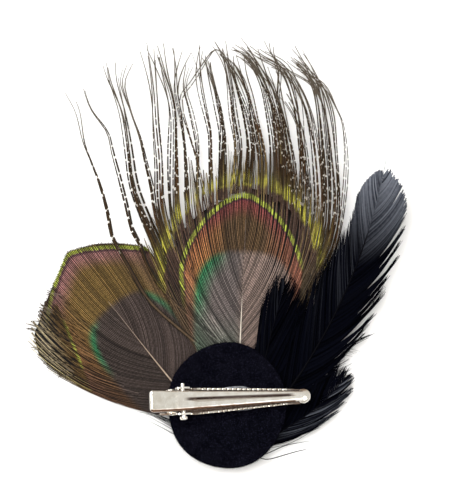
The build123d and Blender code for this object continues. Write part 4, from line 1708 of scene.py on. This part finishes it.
@dataclass
class FeltRound:
    """A round of felt with a soft rim and loose fibres.

    Lumps are the random waves in its top, lump_high how high they rise in mm and
    lump_out how far they push the sides out, as a share. Of the fibres, rim_share
    stand out of the rim, and the two lengths are ranges in mm.
    """

    node: str
    across: float
    bottom: float
    thick: float
    rounding: float
    stretch: float = 0.0
    waver: float = 0.0
    around: int = 240
    lumps: int = 14
    lump_waves: Pair = (0.35, 2.2)
    lump_high: float = 0.12
    lump_out: float = 0.006
    sink: float = 0.03
    fibres: int = 4000
    rim_share: float = 0.4
    rim_length: Pair = (0.25, 0.6)
    top_length: Pair = (0.5, 1.6)
    fibre_half: float = 0.028

    def radius(self, angle: Array) -> Array:
        """The outline: a circle stretched along Y, plus a slow waver."""
        radius = self.across / 2 * (1 - self.stretch * np.cos(2 * angle))
        return radius + self.waver * np.sin(5 * angle + 1)

    def shell(self, rng: Draws) -> Piece:
        """The felt's body.

        Its side view is a flat bottom, a quarter round, a wall, a quarter round
        and a flat top. It is turned about the middle with the outline's radius,
        and its surface is moved out and up by a soft random lumpiness.

        Args:
            rng: the random numbers.

        Returns:
            The piece.
        """
        angle = 2 * np.pi * np.arange(self.around) / self.around
        turn = np.linspace(0, math.pi / 2, 6)
        wall = np.linspace(self.rounding, self.thick - self.rounding, 5)[1:-1]
        flats = np.linspace(0.06, 0.985, 26)
        rim = 1 - self.rounding / (self.across / 2)
        inset, rise = self.rounding * (1 - np.sin(turn)), self.rounding * (1 - np.cos(turn))
        table = np.concatenate([
            np.stack([flats * rim, 0 * flats, 0 * flats], axis=-1),
            np.stack([1 + 0 * turn, -inset, rise], axis=-1),
            np.stack([1 + 0 * wall, 0 * wall, wall], axis=-1),
            np.stack([1 + 0 * turn, -inset[::-1], self.thick - rise[::-1]], axis=-1),
            np.stack([flats[::-1] * rim, 0 * flats, self.thick + 0 * flats], axis=-1),
        ])
        radius = self.radius(angle)[None] * table[:, :1] + table[:, 1:2]
        height = self.bottom + table[:, 2:] + 0 * radius
        x = radius * np.cos(angle)[None]
        y = radius * np.sin(angle)[None]
        waves = rng.uniform(*self.lump_waves, (self.lumps, 2)) * rng.choice([-1, 1], (self.lumps, 2))
        phase = rng.uniform(0, 2 * np.pi, self.lumps)
        lump = np.sin(waves[:, :1, None] * x[None] + waves[:, 1:, None] * y[None] + phase[:, None, None])
        lump = lump.mean(axis=0)
        topside = smoothstep(height, self.bottom + self.thick * 0.6, self.bottom + self.thick)
        height = height + lump * self.lump_high * topside - self.sink * topside
        swell = 1 + lump * self.lump_out
        rings = np.stack([x * swell, y * swell, height], axis=-1)
        ends = [np.array([0, 0, self.bottom]), np.array([0, 0, self.bottom + self.thick - self.sink])]
        return turned_shell(self.node + "_felt", rings, *ends)

    def fuzz(self, rng: Draws) -> Piece:
        """Loose fibres: short bent hairs that lie on the top and stand out of the rim.

        A fibre is four even steps whose bearing turns evenly, lifted along its
        middle by half a sine wave.

        Args:
            rng: the random numbers.

        Returns:
            The piece.
        """
        count = self.fibres
        on_rim = rng.uniform(0, 1, count) < self.rim_share
        angle = rng.uniform(0, 2 * np.pi, count)
        outline = self.radius(angle)
        reach = np.where(on_rim, outline - 0.1, (outline - 0.6) * np.sqrt(rng.uniform(0, 1, count)))
        foot = headings(np.degrees(angle)) * reach[:, None]
        top = self.bottom + self.thick
        height = np.where(on_rim, self.bottom + rng.uniform(0.3, 0.9, count) * self.thick, top - 0.06)
        turn = np.where(on_rim, np.degrees(angle) + rng.normal(0, 50, count), rng.uniform(0, 360, count))
        long = np.where(on_rim, rng.uniform(*self.rim_length, count), rng.uniform(*self.top_length, count))
        along = np.linspace(0, 1, 5)
        bend = rng.normal(0, 60, count)
        course = headings(turn[:, None] + bend[:, None] * along[None])
        flat = foot[:, None] + np.cumsum(course * (long / 4)[:, None, None], axis=1)
        arch = np.where(on_rim, 0.05, 0.14)[:, None] * np.sin(np.pi * along)[None]
        paths = np.concatenate([flat, (height[:, None] + arch)[..., None]], axis=-1)
        half = (self.fibre_half * (1 - 0.5 * along))[None] + np.zeros((count, 1))
        strands = Strands(paths, half, marks={"tone": rng.uniform(0, 1, count)})
        return strands.build(self.node + "_fuzz")

    def build(self, finish: bpy.types.Material, rng: Draws) -> list[Piece]:
        """Builds and dresses the round.

        Args:
            finish: the felt's material.
            rng: the random numbers.

        Returns:
            Its pieces.
        """
        pieces = [self.shell(rng), self.fuzz(rng)]
        for piece in pieces:
            piece.data.materials.append(finish)
            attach(piece, Body.BASE.value)
            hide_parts(self.node)
        return pieces


@dataclass
class MetalClip:
    """The metal alligator clip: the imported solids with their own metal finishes."""

    def build(self, nodes: dict[str, Piece]) -> None:
        """Dresses the clip's solids.

        Args:
            nodes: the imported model's objects by node.
        """
        # Levels, near reflection edges and rib reflection lines place painted shade and painted
        # reflections on the plate
        finishes = {
            "clip_base": NickelFinish("nickel_base", level=8.6),
            "clip_lever": NickelFinish("nickel_lever", level=11.75, slope=0.0874, reach=(-19.0, 26.0),
                                       near_reflection_edge=(2.29, 0.0345), rib_reflection=(-16.0, 25.5, 0.42, 0.85)),
            "clip_pin": NickelFinish(),
            "clip_spring": NickelFinish("spring_wire", rough=0.3),
        }
        for name, finish in finishes.items():
            nodes[name].material_slots[0].material = finish.material()


@dataclass
class Studio:
    """A white sweep under soft light, in metres and watts.

    A wide key light hangs above on the left and gives no glints. A smaller one
    beside it gives only glints, and a weaker fill comes from the near right.
    """

    floor_half: float = 2.5
    target: Triple = (0.0, 0.05, 0.0)
    key_place: Triple = (-0.45, 0.35, 0.95)
    key_size: float = 1.3
    key_power: float = 16.0
    glint_place: Triple = (-0.5, 0.4, 0.9)
    glint_size: float = 0.6
    fill_place: Triple = (0.35, -0.45, 1.0)
    fill_size: float = 0.9
    fill_power: float = 4.0
    sky: float = 0.86
    far_stops: tuple[tuple[float, Colour], ...] = (
        (-1.0, paint(206, 198, 188)), (-0.62, paint(240, 238, 232)), (0.4, paint(248, 247, 244)),
        (0.8, paint(240, 236, 228)), (0.94, paint(170, 148, 128)), (1.0, paint(110, 84, 68)),
    )
    nose_stops: tuple[tuple[float, Colour], ...] = (
        (-1.0, paint(200, 196, 190)), (-0.5, paint(240, 238, 234)), (0.1, paint(250, 249, 248)),
        (0.5, paint(240, 238, 233)), (1.0, paint(248, 246, 243)),
    )

    def floor(self) -> None:
        """The flat floor at height 0."""
        half = self.floor_half / MM
        corners = np.array([(-half, -half, 0), (half, -half, 0), (half, half, 0), (-half, half, 0.0)])
        floor = put_mesh("floor", corners, [np.array([[0, 1, 2, 3]])], {})
        floor.data.materials.append(FloorFinish().material())

    def light(self, name: str, place: Triple, size: float, power: float, lights: bool = True,
              glints: bool = True) -> None:
        """A square soft light that faces the target.

        Args:
            name: its name.
            place: where it hangs, in metres.
            size: its width in metres.
            power: its power in watts.
            lights: whether it lights matt surfaces.
            glints: whether glossy surfaces mirror it.
        """
        data = bpy.data.lights.new(name, "AREA")
        data.size = size
        data.energy = power
        light = bpy.data.objects.new(name, data)
        light.location = place
        light.visible_diffuse = lights
        light.visible_glossy = glints
        facing = Vector(self.target) - Vector(place)
        light.rotation_euler = facing.to_track_quat("-Z", "Y").to_euler()
        bpy.context.scene.collection.objects.link(light)

    def build_sky(self) -> None:
        """Surroundings for the metal to show.

        They are bright, but brown low on the far side and a little grey low on
        the near side. The tail's side is a little greyer than the nose's.
        One ramp follows the direction's Y and another its X, and they multiply.
        """
        graph = Graph("studio", world=True)
        parts = graph.parts(graph.tree.nodes.new("ShaderNodeTexCoord").outputs["Generated"])
        colours = []
        for axis, stops in (("Y", self.far_stops), ("X", self.nose_stops)):
            shifted = graph.tree.nodes.new("ShaderNodeMapRange")
            shifted.inputs["From Min"].default_value = -1.0
            graph.join(shifted.inputs["Value"], parts[axis])
            halved = [((place + 1) / 2, colour) for place, colour in stops]
            colours.append(graph.ramp(shifted.outputs[0], halved))
        background = graph.tree.nodes.new("ShaderNodeBackground")
        graph.join(background.inputs["Color"], graph.mix(1.0, *colours, "MULTIPLY"))
        background.inputs["Strength"].default_value = self.sky
        graph.join(graph.output.inputs["Surface"], background.outputs[0])
        bpy.context.scene.world = graph.owner

    def build(self) -> None:
        """Sets up the floor, the lights and the surroundings."""
        self.floor()
        self.light("key", self.key_place, self.key_size, self.key_power, glints=False)
        self.light("glint", self.glint_place, self.glint_size, self.key_power, lights=False)
        self.light("fill", self.fill_place, self.fill_size, self.fill_power)
        self.build_sky()
        scene = bpy.context.scene
        scene.view_settings.view_transform = "Standard"
        scene.view_settings.look = "None"


# Outlines of the eye feathers: degrees off the shaft, the distance from the root as a share of
# the length, and the barbs' lean there in degrees
TALL_FAN = (
    (35.0, 0.575, 30.0), (32.5, 0.69, 25.8), (28.5, 0.77, 18.7), (24.0, 0.83, 13.6), (19.0, 0.89, 12.0),
    (13.5, 0.94, 9.0), (7.0, 0.98, 8.0), (0.0, 1.0, 4.0), (-4.5, 0.985, 2.0), (-10.5, 0.945, 0.0),
    (-16.0, 0.90, -2.0), (-21.0, 0.83, -5.0), (-25.5, 0.735, -12.0), (-29.0, 0.60, -18.0),
)
SIDE_FAN = (
    (36.0, 0.60, 26.0), (33.5, 0.73, 21.0), (29.7, 0.84, 11.0), (26.4, 0.88, 5.0), (23.8, 0.905, 1.0),
    (19.0, 0.916, 0.0), (16.2, 0.934, 2.0), (12.4, 0.946, 3.0), (6.2, 0.981, 4.0), (2.7, 1.01, 2.0),
    (0.0, 1.035, 0.0), (-7.7, 0.988, -6.0), (-14.0, 0.934, -11.0), (-20.8, 0.875, -16.0),
    (-24.0, 0.76, -20.0), (-29.0, 0.56, -26.0), (-33.0, 0.42, -31.0),
)

# How the feathers rise from the root on: a share of the length, the rise and the hang in layers
TALL_LEVELS = Levels(((0.0, 0.0, 0.0), (0.26, 0.0, 0.3), (0.55, 1.6, 0.8), (1.0, 2.2, 1.0),
                      (1.7, -1.6, 0.0)))
SIDE_LEVELS = Levels(((0.0, 0.0, 0.0), (0.16, 0.0, 0.0), (0.30, -1.5, 0.2), (0.60, -1.3, 0.7),
                      (1.0, -2.3, 0.4), (1.2, -2.8, 0.0)))
LONG_LEVELS = Levels(((0.0, 0.1, 0.0), (0.2, 0.5, 0.0), (0.36, 2.6, 0.5), (0.6, 6.0, 1.2),
                      (0.8, 10.0, 1.4), (1.0, 16.0, 0.8), (1.2, 22.0, 0.0)))
SHORT_LEVELS = Levels(((0.0, 0.1, 0.0), (0.3, 0.85, 0.0), (0.45, 1.0, 0.0), (1.0, 3.6, 0.2),
                       (1.3, 4.6, 0.0)))
LOW_LEVELS = Levels(((0.0, 0.0, 0.0), (0.35, 0.6, 0.0), (0.7, 0.4, 0.4), (1.3, 1.0, 0.2)))

# Outlines of the black vanes: where along the shaft, the half widths to the left and the right,
# and how far the locks stand out there, all as shares of the length
LONG_VANE = (
    (0.10, 0.045, 0.040, 0.0, 0.03), (0.20, 0.085, 0.070, 0.0, 0.05), (0.30, 0.115, 0.085, 0.01, 0.07),
    (0.42, 0.116, 0.095, 0.01, 0.10), (0.50, 0.121, 0.090, 0.01, 0.10), (0.60, 0.107, 0.098, 0.01, 0.08),
    (0.66, 0.095, 0.102, 0.01, 0.07), (0.72, 0.083, 0.104, 0.005, 0.06), (0.78, 0.075, 0.100, 0.0, 0.05),
    (0.83, 0.072, 0.100, 0.0, 0.03), (0.88, 0.070, 0.098, 0.0, 0.01), (0.92, 0.062, 0.086, 0.0, 0.0),
    (0.945, 0.050, 0.070, 0.0, 0.0), (0.965, 0.036, 0.052, 0.0, 0.0), (0.98, 0.022, 0.032, 0.0, 0.0),
    (0.994, 0.0, 0.0, 0.0, 0.0),
)
SHORT_VANE = (
    (0.15, 0.050, 0.070, 0.0, 0.0), (0.33, 0.070, 0.130, 0.0, 0.0), (0.45, 0.085, 0.170, 0.01, 0.0),
    (0.59, 0.095, 0.180, 0.03, 0.03), (0.70, 0.100, 0.170, 0.05, 0.07), (0.80, 0.100, 0.150, 0.07, 0.10),
    (0.90, 0.095, 0.140, 0.07, 0.08), (0.96, 0.085, 0.120, 0.08, 0.08), (1.0, 0.065, 0.09, 0.08, 0.08),
    (1.03, 0.03, 0.045, 0.07, 0.07), (1.05, 0.0, 0.0, 0.07, 0.07),
)
LOW_VANE = (
    (0.20, 0.060, 0.050, 0.0, 0.0), (0.40, 0.130, 0.090, 0.0, 0.01), (0.60, 0.190, 0.115, 0.03, 0.03),
    (0.72, 0.220, 0.115, 0.05, 0.04), (0.82, 0.240, 0.100, 0.06, 0.04), (0.90, 0.240, 0.085, 0.06, 0.04),
    (0.95, 0.210, 0.065, 0.06, 0.04), (1.0, 0.140, 0.040, 0.06, 0.04), (1.03, 0.0, 0.0, 0.05, 0.03),
)

# Locks of the tall feather's herl, by the pixels of the photograph that they run through
TALL_HERL = (
    Herl(((201, 346.5), (182.8, 331), (160.3, 311.4), (146.3, 296), (136.5, 279), (116.8, 245.4),
          (109.8, 230), (107.8, 215.6), (98.3, 183), (83, 145), (74.3, 112), (60, 88)),
         2, 0.6, 0.3, 2.1, 0.42),
    Herl(((219, 341), (202.4, 328), (181.4, 308.6), (160.3, 286), (146.3, 262), (140.7, 245.4),
          (132.3, 230), (127, 208), (119.3, 179), (111.7, 152.4), (106, 131.4), (88.7, 106.5), (79, 75)),
         2, 1.2, 0.6, 2.0, 0.4),
    Herl(((221, 343), (198, 318), (176, 288), (156, 243), (142.3, 211.7), (132.7, 183), (127, 144.8),
          (121, 112), (112, 80), (110, 59.6)), 6, 5.2, 1.8, 1.45, 0.46),
    Herl(((222, 340), (203, 314), (185, 286), (168, 250), (155.7, 211.7), (151.8, 188.8), (144.2, 160),
          (138.4, 137), (130.8, 116), (123.1, 91.2), (122.2, 77.8), (130.8, 56.8)), 3, 2.4, 0.7, 1.4, 0.5),
    Herl(((223, 338), (206, 312), (190, 284), (172, 248), (160.5, 205), (159.5, 164), (156.5, 125.6),
          (153.7, 87.4), (147, 37.7)), 5, 4.2, 3.6, 1.4, 0.5),
    Herl(((222, 344), (206, 326), (191, 302), (179, 272), (171, 242), (166, 214)),
         5, 3.4, 7.0, 0.9, 0.92),
    Herl(((223, 346), (211, 326), (199, 298), (190, 268), (184, 240), (180, 215)),
         4, 3.0, 6.0, 0.9, 0.92),
    Herl(((222, 348), (200, 326), (178, 298), (160, 266), (150, 240)), 4, 3.0, 5.0, 0.9, 0.9),
    Herl(((188, 268), (180, 240), (174.5, 210), (173.2, 183), (172.9, 144.8), (172.2, 106.5),
          (164.3, 70), (158, 38.6)), 6, 4.2, 4.4, 1.2, 0.34),
    Herl(((195, 240), (188, 212), (186.5, 183), (184.3, 144.8), (180.5, 115), (176, 85), (181, 44)),
         4, 1.8, 2.2, 1.0, 0.25),
    Herl(((202, 225), (198, 205), (197.5, 185), (196.8, 144.8), (191, 110), (186, 85), (192, 60)),
         3, 1.4, 2.0, 1.0, 0.2),
    Herl(((207, 210), (198, 165), (188, 130), (181, 99), (192, 79.7), (208, 53), (215, 47),
          (223, 51), (229, 66)), 2, 1.2, 1.4, 0.8),
    Herl(((212, 212), (210.5, 165), (210, 135), (207.3, 119.9), (200.5, 90), (197.7, 68.3),
          (195.7, 38)), 4, 1.8, 2.6, 1.0, 0.2),
    Herl(((222, 200), (222.6, 150), (222.6, 129.5), (216.9, 97), (209, 68), (205.4, 53)),
         7, 3.2, 3.4, 1.0, 0.3),
    Herl(((234, 194), (238, 150), (233, 115), (230.3, 87.4), (226, 62), (218.8, 37.7)),
         7, 3.4, 3.0, 1.0, 0.28),
    Herl(((247, 192), (251, 150), (246, 115), (238, 88), (232, 68.3), (224, 50)), 7, 3.8, 3.0, 1.0, 0.28),
    Herl(((262, 194), (262, 155), (254, 115), (247, 88), (238, 66), (231, 52)), 7, 3.4, 2.6, 1.0, 0.28),
    Herl(((275, 202), (276, 148.6), (270.4, 106.5), (262.8, 77.8), (249, 54), (230.3, 41)),
         9, 4.2, 5.0, 1.0, 0.3),
    Herl(((284, 212), (284, 150), (276, 106), (262, 74), (243.7, 47)), 7, 2.8, 4.5, 1.0, 0.25),
    Herl(((292, 222), (289.6, 164), (282, 120), (278, 97), (279.5, 68), (272.4, 49), (270.4, 36)),
         3, 1.6, 1.2, 1.0, 0.2),
    Herl(((284, 300), (298, 252), (302, 225), (303, 175), (301, 137), (297.2, 102.7), (285.8, 68),
          (262.8, 51), (251, 41.5)), 7, 3.0, 4.6, 1.0, 0.35),
    Herl(((288, 306), (306, 262), (315, 232), (319, 200), (316, 150), (308, 106), (292, 72), (272, 58)),
         7, 3.2, 6.0, 1.0, 0.36),
    Herl(((290, 312), (312, 268), (323, 240), (327, 200), (324, 140), (318.3, 92), (308.7, 68),
          (292.4, 45.3)), 10, 4.0, 5.0, 1.1, 0.38),
    Herl(((294, 315), (318, 270), (332, 238), (337, 200), (334, 150), (329, 110), (317, 80),
          (289.6, 56)), 7, 3.2, 5.0, 1.0, 0.36),
    Herl(((300, 315), (324, 272), (338, 238), (346.5, 175), (344.5, 128), (336, 104), (324, 81.7),
          (296, 66)), 3, 1.6, 1.8, 0.85, 0.34),
    Herl(((286, 262), (294, 225), (295, 190), (291, 150), (284, 115), (275, 85), (262, 62)),
         5, 2.4, 2.4, 1.0, 0.3),
    Herl(((288, 290), (306, 245), (309, 215), (308, 180), (304, 145), (297, 115), (286, 88)),
         5, 2.6, 2.6, 1.0, 0.35),
)

# Locks at the trimmed edge of the side feather, in the same way
SIDE_HERL = (
    Herl(((96, 330), (78, 316), (62, 300), (48, 286)), 6, 4.0, 4.0, 1.2, 0.8),
    Herl(((100, 344), (78, 328), (56, 314), (39, 303)), 8, 4.0, 5.0, 1.2, 0.8),
    Herl(((104, 356), (82, 342), (56, 326), (36, 313)), 8, 4.0, 4.0, 1.2, 0.8),
    Herl(((108, 366), (84, 354), (56, 338), (27, 320)), 7, 4.0, 3.0, 1.2, 0.8),
    Herl(((116, 376), (92, 366), (62, 353), (33, 341)), 7, 4.0, 4.0, 1.2, 0.8),
    Herl(((124, 386), (98, 377), (70, 365), (42, 352)), 7, 3.4, 4.0, 1.2, 0.8),
    Herl(((138, 396), (112, 389), (86, 378), (60, 365)), 6, 3.0, 2.4, 1.2, 0.85),
)

# Stray hairs: on the low feather's lower edge, beyond its tip, and under the clip's tail
BLACK_WISPS = (
    Wisp(((258, 447), (288, 441), (316, 424), (343, 398)), 6, (1.5, 5.0), half=0.07),
    Wisp(((255, 455), (264, 458), (272, 457.5), (296, 451), (319, 446.5)), 2, (0.2, 0.7), half=0.15),
    Wisp(((262, 454), (270, 451), (285, 444.5), (300, 441.5), (318, 439)), 2, (0.3, 0.8), half=0.15),
    Wisp(((268, 447), (290, 436), (312, 426), (328, 417), (342, 408)), 2, (0.4, 1.0), half=0.1),
    Wisp(((262, 445), (300, 431), (328, 411), (346, 386)), 12, (2.0, 4.5)),
    Wisp(((300, 394), (322, 384), (338, 379), (354, 377)), 22, (5.0, 5.0)),
    Wisp(((302, 392), (322, 378), (338, 369), (353, 361)), 26, (6.0, 5.0)),
    Wisp(((304, 385), (322, 368), (336, 357), (348, 352)), 22, (6.0, 5.0)),
    Wisp(((306, 376), (324, 358), (340, 350), (361, 353)), 12, (6.0, 3.5), (3.0, 2.8)),
    Wisp(((322, 365), (338, 352), (356, 342), (376, 333)), 16, (3.5, 1.0), (3.6, 3.4)),
    Wisp(((308, 404), (325, 398), (338, 392), (347, 384)), 18, (4.0, 3.5)),
    Wisp(((204, 440), (186, 436), (165, 424), (140, 410)), 5, (2.0, 3.0), (1.4, 1.2)),
    Wisp(((190, 424), (170, 419), (152, 412), (136, 409)), 6, (2.0, 2.0), (1.4, 1.3)),
)

TALL_FINISH = PeacockFinish(
    "peacock_tall",
    line=Ring(0.57, 50.0, 22.3, 28.6, 50.0, 1.6),
    outer=Ring(0.57, 50.0, 29.5, 34.4, 60.0, 2.0),
    heart=Ring(-0.4, 37.0, 18.0, 20.5, 34.0, 3.0),
    crescent=(8.0, 0.4),
    line_low=(42.0, 56.0),
    line_band=0.046,
)
SIDE_FINISH = PeacockFinish(
    "peacock_side",
    line=Ring(0.0, 50.0, 32.2, 28.9, 60.0, 1.3),
    outer=Ring(0.0, 50.0, 40.0, 38.0, 60.0, 1.6),
    heart=Ring(-0.3, 33.5, 16.8, 20.5, 30.0, 3.0),
    crescent=(10.0, 0.16),
    green_span=(-3.0, 12.0),
    flank=(70.0, 14.0, 0.31),
    low_field=paint(74, 54, 38),
    warm_right=paint(106, 83, 62),
    dim=1.06,
    low_tint=0.0,
    low_green=0.0,
    twin=0.7,
    line_low=(70.0, 40.0),
    warm=paint(112, 80, 52),
    bronze=paint(115, 92, 50),
    wine=paint(148, 105, 103),
    heart_left=paint(72, 62, 58),
    heart_right=paint(80, 68, 64),
    green=paint(40, 130, 86),
)


def feathers() -> tuple[list[EyeFeather], list[BlackFeather]]:
    """The five feathers.

    Returns:
        The two eye feathers and the three black ones.
    """
    pale = QuillFinish("tall_quill", paint(214, 206, 192), paint(92, 74, 60), (0.38, 0.5))
    tan = QuillFinish("side_quill", paint(172, 152, 132), paint(116, 100, 88))
    tall_leave = ((0.0, 0.5), (0.06, 10.0), (0.12, 20.0), (0.3, 34.0), (0.6, 42.0), (1.0, 42.0))
    side_leave = ((0.0, 0.5), (0.06, 12.0), (0.12, 24.0), (0.3, 40.0), (0.6, 48.0), (0.85, 52.0),
                  (1.0, 50.0))
    eyes = [
        EyeFeather("eye_feather_tall", TALL_FINISH, pale, root=(4.05, 0.0), bearing=87.8, length=87.0,
                   fan=TALL_FAN, levels=TALL_LEVELS, shaft_share=0.9, leave=tall_leave, herl=TALL_HERL,
                   overrun=(0.0, 0.17), parting=(0.75, 0.3), web_inset=(0.1, 0.06)),
        EyeFeather("eye_feather_side", SIDE_FINISH, tan, root=(-9.0, -4.5), bearing=129.0, length=77.5,
                   fan=SIDE_FAN, levels=SIDE_LEVELS, shaft_share=0.8, leave=side_leave, herl=SIDE_HERL,
                   barbs_a_side=80, overrun=(-0.003, 0.003), ragged=(-0.03, 0.05), point=0.1,
                   web_inset=(0.004, 0.004), thick_quill=(1.0, 0.4), quill_share=0.72),
    ]
    blacks = [
        BlackFeather("black_feather_long", root=(13.5, -6.08), bearings=(50.0, 79.0), length=105.0,
                     vane=LONG_VANE, levels=LONG_LEVELS, quill_thick=(1.1, 0.3), thin_from=0.72,
                     full_from=0.8, sheen=0.1, bare_tip=0.045, pitch=0.2, lock_size=(3.0, 5.0),
                     lock_pull=(0.3, 0.9), barb_half=0.26),
        BlackFeather("black_feather_short", root=(10.35, -1.13), bearings=(80.0, 73.0), length=47.0,
                     vane=SHORT_VANE, levels=SHORT_LEVELS, quill_thick=(0.75, 0.2), sheen=0.05,
                     pitch=0.12, barb_angle=(9.0, 12.0), lock_size=(1.8, 2.0), lock_pull=(0.5, 0.5),
                     barb_half=0.24),
        BlackFeather("black_feather_low", root=(5.85, -14.85), bearings=(16.0, 52.0), length=47.0,
                     vane=LOW_VANE, levels=LOW_LEVELS, quill_thick=(0.75, 0.2), sheen_side=Side.RIGHT,
                     pitch=0.1, barb_angle=(22.0, 13.0), lock_size=(1.5, 1.8), lock_pull=(0.4, 0.55),
                     barb_half=0.28),
    ]
    return eyes, blacks


def main() -> None:
    """Builds and dresses every piece, and logs the names of the pieces it builds."""
    logging.basicConfig(level=logging.INFO, format="%(name)s: %(message)s")
    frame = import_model()
    rng = np.random.default_rng(SEED)
    PhotoView().build_camera()
    Studio().build()
    MetalClip().build(frame["nodes"])
    frame["nodes"]["glue_bead"].material_slots[0].material = GlueFinish().material()
    felt = FeltFinish().material()
    rounds = [
        FeltRound("backing_disc", across=45.0, bottom=3.6, thick=2.0, rounding=0.4, stretch=0.033,
                  waver=0.2),
        FeltRound("front_pad", across=25.0, bottom=0.0, thick=1.8, rounding=0.5, fibres=600),
    ]
    for felt_round in rounds:
        LOG.info("%s: %s", felt_round.node, [piece.name for piece in felt_round.build(felt, rng)])
    eyes, blacks = feathers()
    for eye in eyes:
        LOG.info("%s: %s", eye.node, [piece.name for piece in eye.build(rng)])
    black = BlackFeatherFinish().material()
    dark, pith = paint(4, 4, 7), paint(12, 12, 17)
    shaft = QuillFinish("black_quill_bare", dark, paint(88, 92, 102), (0.72, 0.95), pith, 0.01).material()
    dark_shaft = QuillFinish("black_quill", dark, paint(14, 15, 22), (0.6, 0.9), pith, 0.01).material()
    for feather, quill_finish in zip(blacks, (shaft, dark_shaft, dark_shaft)):
        LOG.info("%s: %s", feather.node, [piece.name for piece in feather.build(black, quill_finish, rng)])
    wisps = Wisps(BLACK_WISPS)
    LOG.info("wisps: %s", wisps.build(black, rng).name)


if __name__ == "__main__":
    main()
